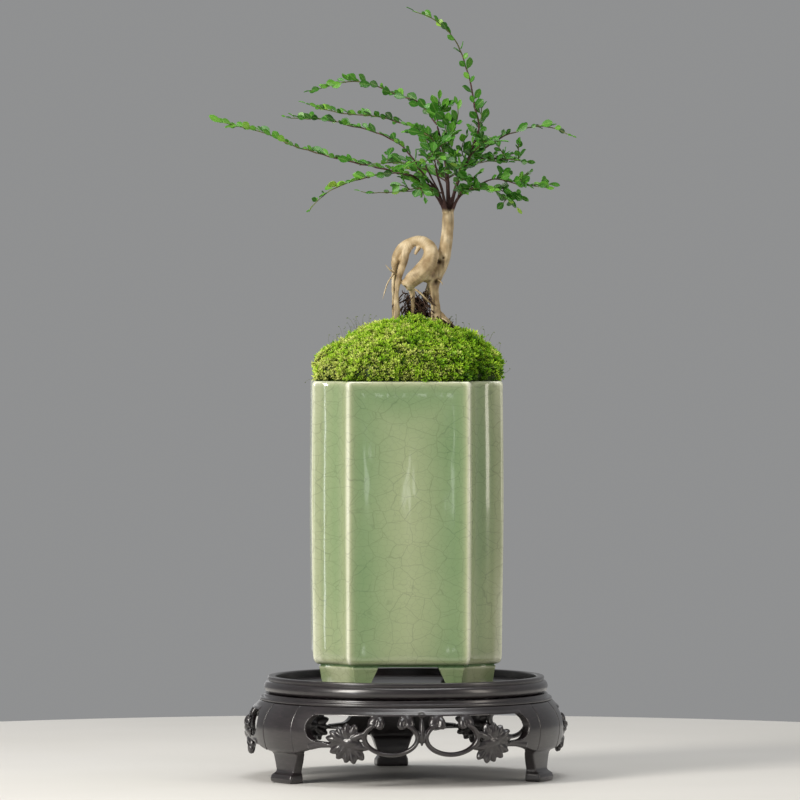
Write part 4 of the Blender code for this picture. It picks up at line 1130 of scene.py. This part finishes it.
def makeTrunk():
    routes = [stemRoute, loopRoute, *rootRoutes, *limbRoutes]
    parts = [bentTube("wood", onTree(route), mm, 4, 8) for route in routes]
    trunk = joined("trunkAndRoots", parts)
    applyModifier(trunk, "REMESH", mode="VOXEL", voxel_size=tree["grit"])
    applyModifier(trunk, "SMOOTH", factor=0.5, iterations=3)
    points = meshPoints(trunk)
    normals = np.empty(len(points) * 3)
    trunk.data.vertex_normals.foreach_get("vector", normals)
    normals = normals.reshape(-1, 3)
    loop = np.array([tuple(p) for p in walked(onTree(loopRoute), 0.4 * mm)])
    along = np.concatenate([[0], np.cumsum(np.linalg.norm(np.diff(loop, axis=0), axis=1))])
    foldShade = np.zeros(len(points))
    push = np.zeros(len(points))
    woodTop = potHigh.z + tree["woodTop"] * mm
    for k, point in enumerate(points):
        here = Vector(point)
        gaps = np.linalg.norm(loop - point, axis=1)
        near = int(np.argmin(gaps))
        onLoop = float(np.clip((5.2 * mm - gaps[near]) / (1.0 * mm), 0, 1))
        onLoop *= point[2] > potHigh.z + 40 * mm
        wander = noise.noise(here * 160.0) * 1.3
        ripple = sin(2 * pi * along[near] / tree["ridgeStep"] + wander * 3.6)
        strong = onLoop * max(0.08, 0.4 + 1.1 * noise.noise(here * 150.0 + Vector((9, 2, 4))))
        lump = noise.noise(here * 330.0)
        grooves = noise.noise(Vector((point[0] * 900, point[1] * 900, point[2] * 110)))
        straight = (1 - onLoop) * (point[2] < woodTop)
        push[k] = tree["ridge"] * ripple * strong + tree["lump"] * lump * 0.5
        push[k] += tree["groove"] * grooves * straight
        # painted shade in the troughs of the wrinkles, the stem's grooves and the dips between lumps
        foldShade[k] = max(0, -ripple) * strong * 0.35 + max(0, -grooves) * 0.9 * straight
        foldShade[k] += max(0, -lump - 0.25) * 0.7
    # the hollows are pushed in and filled with painted shade
    for place, size in hollows:
        gaps = np.linalg.norm(points - np.array(fromRim(*place)), axis=1) / (size * mm)
        inside = np.exp(-(gaps**2))
        push -= 1.3 * mm * inside * min(1.0, size)
        foldShade = np.maximum(foldShade, 1.2 * inside)
    height = (points[:, 2] - potHigh.z) / mm
    young = np.clip((height - 75.4) / 1.8, 0, 1)
    push *= np.where(young > 0.5, 0.35, 1.0)
    # darker towards the bottom, below 36 mm above the rim
    lowerDarkening = np.clip((36 - height) / 10, 0, 1) * 0.35
    movePoints(trunk, points + normals * push[:, None])
    fine = [bentTube("rootlet", onTree(route), mm, 2, 4) for route in rootlets]
    # the dark brown of the folds is painted shade, and it also holds the darkening towards the bottom
    paint(trunk, "foldShade", np.clip(foldShade + lowerDarkening, 0, 1))
    paint(trunk, "young", young)
    for piece in fine:
        paint(piece, "foldShade", 0)
        paint(piece, "young", 0)
    trunk = joined("trunkAndRoots", [*fine, trunk])
    smoothShade(trunk, 75)
    finished(trunk, "bark", bark, "trunk")
    print("trunk carved")


def makeTangle():
    # old feeder roots and crumbs of soil under the arch, and the bare slope beside the stem
    chance = random.Random(5)
    strands = []
    for k in range(tree["strands"]):
        if k < tree["underArch"]:
            start = (chance.uniform(-2, 11), chance.uniform(-2, 5), chance.uniform(31, 41))
        else:
            start = (chance.uniform(14, 22), chance.uniform(-4, 3), chance.uniform(24, 29))
        route = [start]
        for _ in range(3):
            x, y, z = route[-1]
            aside, back = chance.uniform(-2.6, 2.6), chance.uniform(-2.0, 2.0)
            route.append((x + aside, y + back, z - chance.uniform(0.6, 3.6)))
        wide = chance.uniform(0.14, 0.42)
        taper = (0.3, 1.0, 0.8, 0.15)
        points = [(*fromRim(*p), wide * t) for p, t in zip(route, taper)]
        strands.append(bentTube("strand", points, mm, 1, 3))
    tangle = joined("rootTangle", strands)
    # the whole tangle takes the dark brown of the painted fold shade
    paint(tangle, "foldShade", 1.0)
    paint(tangle, "young", 0.5)
    smoothShade(tangle, 60)
    finished(tangle, "bark", bark)
    bpy.ops.mesh.primitive_ico_sphere_add(subdivisions=1, radius=1, location=(0, 0, 0))
    crumb = placed(bpy.context.object, "crumb")
    spots = []
    for k in range(tree["crumbs"]):
        if k < tree["heaped"]:
            x, y = chance.gauss(4.5, 4.2), chance.gauss(1.5, 3.0)
            heap = bell(x, 5, 5.5) * bell(y, 2.5, 3.5)
            up = 24.0 + 12.0 * heap + chance.uniform(-1.6, 1.2)
        else:
            x, y = chance.gauss(18.5, 2.8), chance.gauss(-0.5, 2.4)
            up = 27.6 - 0.62 * (x - 15) + chance.uniform(-1.4, 0.4)
        size = chance.uniform(0.3, 0.8) * mm
        turn = Matrix.Rotation(chance.uniform(0, 6), 4, Vector((chance.random(), chance.random(), 1)))
        sizes = Matrix.Diagonal((size, size * 0.8, size * 0.6, 1))
        spots.append(Matrix.Translation(fromRim(x, y, up)) @ turn @ sizes)
    crumbs = scattered("soilCrumbs", crumb, spots, {})
    finished(crumbs, "potting_soil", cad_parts["soil"].data.materials[0])
    bpy.data.objects.remove(crumb)


# Each shoot: its route, the radius at its foot, leaves, length of a leaf, and how yellow it is.
shootRoutes = {
    "left_long": (
        [(9.6, -4, 86.4), (1.8, -6, 91.5), (-8.6, -8, 94.6), (-23.4, -9, 97.8), (-36, -9, 100.9),
         (-50.9, -8, 105.4), (-63, -7, 110.8), (-73, -6, 113.6), (-81.5, -5.4, 115.6)],
        0.75, 40, 4.6, 0.45,
    ),
    "left_upper": (
        [(16.6, 3, 104), (12, 4, 110), (5, 5, 113.7), (-3.2, 5.6, 116.2), (-14.4, 6.4, 118.9),
         (-25.7, 7.4, 119.7), (-33, 8, 121.2), (-45, 8, 124.5)],
        0.6, 30, 4.4, 0.35,
    ),
    "left_middle": (
        [(5, -3.2, 96.8), (-0.5, -3, 104), (-7.2, -2, 108.7), (-16.2, -1, 112.3), (-25.2, 0, 114.5),
         (-34.2, 1, 116.8), (-54, 2, 118.4)],
        0.6, 30, 4.4, 0.35,
    ),
    "left_top": (
        [(13.9, 3.4, 115), (9, 8, 122), (4.3, 10, 125.7), (-3.2, 12, 128.6), (-10.8, 13, 131.5),
         (-21.8, 14, 134.7), (-29.3, 13.6, 134.2), (-36, 13, 132.4), (-43.2, 12, 130.2)],
        0.55, 30, 4.6, 0.4,
    ),
    "left_low": (
        [(13, -3, 86), (6.3, -8, 90), (-0.5, -11, 92.6), (-9.5, -13, 92.6), (-18.5, -14, 90.9),
         (-27.5, -14, 88), (-36.5, -13, 83.5), (-43.3, -12, 76.6)],
        0.65, 26, 5, 0.5,
    ),
    "left_thin": (
        [(12, 0.6, 86), (4, 3, 85.4), (-5, 4, 84.8), (-13, 5, 84.4), (-20, 5.6, 84.7)],
        0.4, 5, 4.2, 0.2,
    ),
    "leader": (
        [(32.9, 0, 113.5), (32.2, 1, 118.5), (30.6, 2, 124), (29, 3, 134), (26.6, 4, 142),
         (23.9, 4, 149.6), (20.4, 3, 155.5), (15.5, 2, 160), (10, 1, 163.6), (4, 0, 165.6)],
        0.65, 22, 5, 0.4,
    ),
    "crown_left": ([(14, 2.4, 115), (14.4, 0, 121), (15, -2, 127)], 0.5, 6, 6.4, 0.35),
    "right_upper": (
        [(27.8, 1.4, 99), (35.5, 6, 104), (42.3, 9, 109.1), (49, 11, 111.8), (55.8, 12, 113.9),
         (63.9, 12, 114.3), (74.5, 10, 110.4)],
        0.6, 20, 4.8, 0.3,
    ),
    "right_middle": (
        [(28.6, 0, 101), (37.8, -3, 99.6), (45.9, -5, 99.4), (55, -6, 97.6)],
        0.5, 15, 5.4, 0.3,
    ),
    "right_low": ([(37, -6, 89.8), (42.3, -8, 90.2), (49, -9, 88.4), (62, -9, 86.4)], 0.5, 15, 5.2, 0.35),
    "right_droop": ([(31, -4, 86.4), (41.4, 1, 86), (45.9, 2, 83.5), (49.5, 3, 78)], 0.45, 8, 5.2, 0.3),
    "front_right": (
        [(23, -2.4, 82.5), (25.2, -10, 84.6), (31, -15, 86), (38, -19, 85.4)],
        0.5, 12, 6.6, 0.3,
    ),
    "front_left": ([(16.6, -5, 84), (9, -12, 86), (2.7, -16, 86), (-2.4, -19, 84.4)], 0.5, 12, 6.6, 0.3),
    "front": ([(13, -20, 97.5), (12, -26, 99.4), (10, -33, 99), (8, -39, 97)], 0.5, 13, 6.2, 0.35),
    "front_high": ([(18, 2, 98), (15, -7, 104), (12, -13, 108), (8, -21, 111)], 0.5, 14, 6, 0.35),
    "front_right_high": (
        [(27, 1, 98), (30.6, -7, 102.6), (33.6, -13, 106), (36, -20, 107)],
        0.5, 14, 6, 0.35,
    ),
    "back": ([(14, 26, 100), (12, 33, 103), (10, 41, 105), (8, 50, 104)], 0.5, 14, 5.6, 0.25),
    "back_left": ([(18, 11, 90), (8, 19, 95), (-2, 24, 98), (-15, 29, 98)], 0.5, 16, 5.6, 0.25),
    "back_right": ([(18, 12, 90.6), (28, 18, 96), (36, 24, 99), (46, 29, 98.4)], 0.5, 16, 5.6, 0.25),
    "top_back": ([(30.6, 1, 106), (33, 7, 113), (34, 11, 120), (33, 14, 127)], 0.45, 9, 5.2, 0.3),
    "crown_middle": ([(16.4, 2, 105), (21, -2, 111), (23, -5, 118), (23, -6, 123)], 0.5, 8, 6, 0.35),
}
# more side twigs, where the crown is full in front of the limbs
fillers = {
    "front_right_high": [
        [(25, 0.5, 93), (22, -5, 100), (20, -8, 106)],
        [(27, 1, 98), (25, -3, 104), (27, -5, 110)],
        [(23, 0, 88), (24, -6, 94), (26, -9, 99)],
    ],
    "front_high": [
        [(18.5, 1, 92), (20, -4, 97), (22, -8, 101)],
        [(18.5, 1, 90), (14, -4, 95), (11, -7, 99)],
    ],
    "front_left": [[(11, -2, 89), (6, -6, 93), (1, -8, 95)]],
    "front": [[(14, -14, 92), (19, -17, 95), (24, -19, 96)]],
    "front_right": [[(24, -3, 83), (28, -8, 88), (32, -10, 92)]],
}
longShoots = (
    "left_long", "left_upper", "left_middle", "left_top", "left_low", "left_thin", "right_upper", "leader"
)
foliage = {
    "longest": 6.6,  # of any leaf, in millimetres
    "denser": 1.3,  # more leaves on the shoots that reach left
    "slimmer": 0.72,  # of a twig's foot
}


def makeLeaf():
    # 1 unit long: a narrow stalk, an egg-shaped blade folded at its midrib, a blunt tip
    stations = [
        (0.0, 0.022), (0.14, 0.03), (0.30, 0.17), (0.52, 0.29), (0.74, 0.30), (0.92, 0.16), (1.0, 0.03)
    ]
    bpy.ops.mesh.primitive_grid_add(x_subdivisions=6, y_subdivisions=2, size=1, location=(0, 0, 0))
    leaf = placed(bpy.context.object, "leaf")
    startEdit(leaf)
    for k, (place, half) in enumerate(stations):
        column = -0.5 + k / 6
        choose(leaf, "VERT", lambda middle, vert: abs(middle.x - column) < 0.01 and abs(middle.z) < 0.01)
        bpy.ops.transform.resize(value=(1, half / 0.5, 1), center_override=(column, 0, 0))
        droop = -0.1 * place**2 + 0.02
        bpy.ops.transform.translate(value=(10 + place - column, 0, droop))
    bpy.ops.mesh.select_all(action="SELECT")
    bpy.ops.transform.translate(value=(-10, 0, 0))
    choose(leaf, "VERT", lambda middle, vert: abs(middle.y) > 0.1)
    bpy.ops.transform.translate(value=(0, 0, 0.06))
    endEdit()
    points = meshPoints(leaf)
    paint(leaf, "rib", 1 - np.clip(np.abs(points[:, 1]) * 8, 0, 1))
    applyModifier(leaf, "SOLIDIFY", thickness=0.03, offset=0)
    return leaf


def leafStands(path, count, length, chance, hanging, shrink=0.3):
    # two ranks of leaves along a twig, leaning forwards and up, each tilted its own way
    lengths = [0.0]
    for a, b in zip(path, path[1:]):
        lengths.append(lengths[-1] + (b - a).length)
    stands = []
    for k in range(count):
        share = (k + 0.8 + chance.uniform(-0.5, 0.5)) / count
        if k == count - 1:
            share = 1.0
        target = lengths[-1] * min(1.0, share)
        spot = max(i for i, d in enumerate(lengths) if d <= target + 1e-9)
        spot = min(spot, len(path) - 2)
        part = (target - lengths[spot]) / max(lengths[spot + 1] - lengths[spot], 1e-9)
        base = path[spot].lerp(path[spot + 1], min(1, part))
        tangent = (path[spot + 1] - path[spot]).normalized()
        reference = Vector((0, 0, 1)) if abs(tangent.z) < 0.75 else Vector((0, -1, 0))
        side = tangent.cross(reference).normalized() * (-1) ** k
        lift = reference * (chance.uniform(-0.15, 0.85) if not hanging else chance.uniform(-0.7, 0.8))
        along = (tangent * chance.uniform(0.6, 1.4) + side * chance.uniform(0.3, 0.9) + lift).normalized()
        if k >= count - 2:
            along = (tangent * 1.6 + side * 0.25 + reference * 0.2).normalized()
        sway = [chance.uniform(-1, 1), chance.uniform(-1.5, 0.6), chance.uniform(-0.7, 0.7)]
        up = reference * 0.6 + Vector(sway)
        across = up.cross(along).normalized()
        top = along.cross(across)
        size = min(foliage["longest"], length * chance.uniform(0.5, 1.2)) * mm
        size *= 1 - shrink * max(0, share - 0.75) / 0.25
        narrow = chance.uniform(0.8, 1.15)
        if k >= count - 2:
            narrow = 0.6
        turn = Matrix((along, across, top)).transposed().to_4x4()
        sizes = Matrix.Diagonal((size, size * narrow, size, 1))
        stands.append((Matrix.Translation(base) @ turn @ sizes, share))
    return stands


def makeShoots():
    leaf = makeLeaf()
    twigs = []
    chance = random.Random(21)
    noise.seed_set(21)
    total = 0
    for name, (route, foot, count, length, yellow) in shootRoutes.items():
        route = onTree(route)
        path = walked(route, 1.2 * mm)
        path = [p + noise.noise_vector(p * 260.0) * 0.55 * mm for p in path]
        foot *= foliage["slimmer"]
        thick = [foot + (0.2 - foot) * k / (len(path) - 1) for k in range(len(path))]
        picked = sorted({*range(0, len(path) - 2, 3), len(path) - 1})
        tube = bentTube("twig", [(*path[k], thick[k]) for k in picked], mm, 1, 2)
        tip = np.linalg.norm(meshPoints(tube) - np.array(path[0]), axis=1)
        paint(tube, "tip", np.clip(tip / tip.max() * 1.3 - 0.5, 0, 1))
        twigs.append(tube)
        shrink = -0.3 if name == "left_long" else 0.3
        count = round(count * (foliage["denser"] if name in longShoots[:5] else 1.0))
        stands = leafStands(path, count, length * 1.18, chance, False, shrink)
        if name not in longShoots:  # bushy side twigs fill the crown
            for k in range(2 if name in ("crown_left", "crown_middle", "top_back") else 4):
                start = path[int(len(path) * (0.2 + 0.2 * k))]
                ahead = (path[-1] - path[0]).normalized()
                sway = [chance.uniform(-1, 1), chance.uniform(-1, 1), chance.uniform(-0.3, 1.0)]
                way = (ahead * 0.6 + Vector(sway)).normalized()
                end = start + way * chance.uniform(7, 12) * mm
                middle = (start + end) / 2 + Vector((0, 0, 1.0 * mm))
                small = walked([start, middle, end], 1.0 * mm)
                side = bentTube("twig", [(*start, 0.26), (*middle, 0.22), (*end, 0.15)], mm, 1, 3)
                paint(side, "tip", 0.35)
                twigs.append(side)
                stands += leafStands(small, 6, length, chance, True)
        for filler in fillers.get(name, []):
            small = walked(onTree(filler), 1.0 * mm)
            knots = [(*fromRim(*p), 0.3 - 0.07 * k) for k, p in enumerate(filler)]
            side = bentTube("twig", knots, mm, 1, 3)
            paint(side, "tip", 0.3)
            twigs.append(side)
            stands += leafStands(small, 8, 5.8, chance, True)
        tints = []
        for _, share in stands:
            tint = yellow * 0.6 + 0.12 + 0.35 * max(0, share - 0.6) + chance.gauss(0, 0.15)
            tints.append(min(1, max(0, tint)))
        piece = scattered("leaves_" + name, leaf, [m for m, _ in stands], {"tint": tints})
        smoothShade(piece, 50)
        finished(piece, "leaf", leafy, "shoot_" + name)
        total += len(stands)
    young = joined("youngTwigs", twigs)
    smoothShade(young, 60)
    finished(young, "bark", twigSkin)
    bpy.data.objects.remove(leaf)
    print("leaves:", total)


makeTrunk()
makeTangle()
makeShoots()
print("tree grown")

# ---- studio

studio = {
    "turn": radians(-1.5),
    "rise": radians(1.0),
    "distance": 2.9,
    "lens": 290,
    "sideways": -2.7 * mm,
    "aim": 169.4 * mm,
    "floorRadius": 0.42,
}


def makeCamera():
    ahead = Vector((-sin(studio["turn"]), cos(studio["turn"]), 0))
    right = Vector((cos(studio["turn"]), sin(studio["turn"]), 0))
    target = Vector((standAxis.x, standAxis.y, studio["aim"])) + right * studio["sideways"]
    back = -ahead * cos(studio["rise"]) + Vector((0, 0, sin(studio["rise"])))
    camera = bpy.data.cameras.new("camera")
    camera.lens = studio["lens"]
    camera.clip_end = 20
    obj = linked("camera", camera)
    obj.location = target + back * studio["distance"]
    obj.rotation_euler = (-back).to_track_quat("-Z", "Y").to_euler()
    bpy.context.scene.camera = obj


def makeLight(name, place, size, power, colour, seen=True):
    light = bpy.data.lights.new(name, "AREA")
    light.shape = "RECTANGLE"
    light.size, light.size_y = size
    light.energy = power
    light.color = linear(colour)[:3]
    obj = linked(name, light)
    obj.visible_camera = seen
    obj.location = place
    obj.rotation_euler = (Vector((0, 0, 0.17)) - Vector(place)).to_track_quat("-Z", "Y").to_euler()


def makeFloor():
    disc = {"radius": studio["floorRadius"], "depth": 0.01}
    bpy.ops.mesh.primitive_cylinder_add(vertices=160, location=(0, 0, -0.0052), **disc)
    floor = placed(bpy.context.object, "studioFloor")
    startEdit(floor)
    choose(floor, "EDGE", lambda middle, edge: middle.z > -0.001 and edge.calc_face_angle(0) > 1)
    bpy.ops.mesh.bevel(offset=0.002, segments=3)
    endEdit()
    smoothShade(floor)
    # matt painted board, its coat a little uneven
    material, shader, place = newMaterial("paintedBoard", 0.6)
    feed(shader, ramp(clouds(place, 6.0, 3.0), [(0.3, "d6d4cf"), (0.7, "dedcd8")]), "Base Color")
    coat(floor, material)


def makeRoomLight():
    world = bpy.data.worlds.new("studio")
    bpy.context.scene.world = world
    world.use_nodes = True
    background = world.node_tree.nodes["Background"]
    background.inputs["Color"].default_value = linear("d9dadb")
    background.inputs["Strength"].default_value = 0.4


makeCamera()
makeFloor()
makeRoomLight()
makeLight("softboxLeft", (-0.95, -0.75, 0.75), (0.35, 0.9), 19, "fffaf2")
makeLight("softboxRight", (1.1, -0.6, 0.5), (0.3, 0.9), 4, "fff6ea")
makeLight("windowStrip", (-1.5, -1.5, 0.3), (0.12, 0.9), 2.5, "f2f6ff")
makeLight("overhead", (0.1, 0.1, 1.3), (0.7, 0.7), 7, "ffffff")
makeLight("rim", (-0.35, 2.2, 0.35), (0.3, 0.9), 0.5, "ffffff", False)
makeLight("glint", (0.10, -3.6, 0.05), (0.09, 0.16), 0.16, "ffffff")
bpy.context.scene.view_settings.view_transform = "Standard"
print("studio lit")
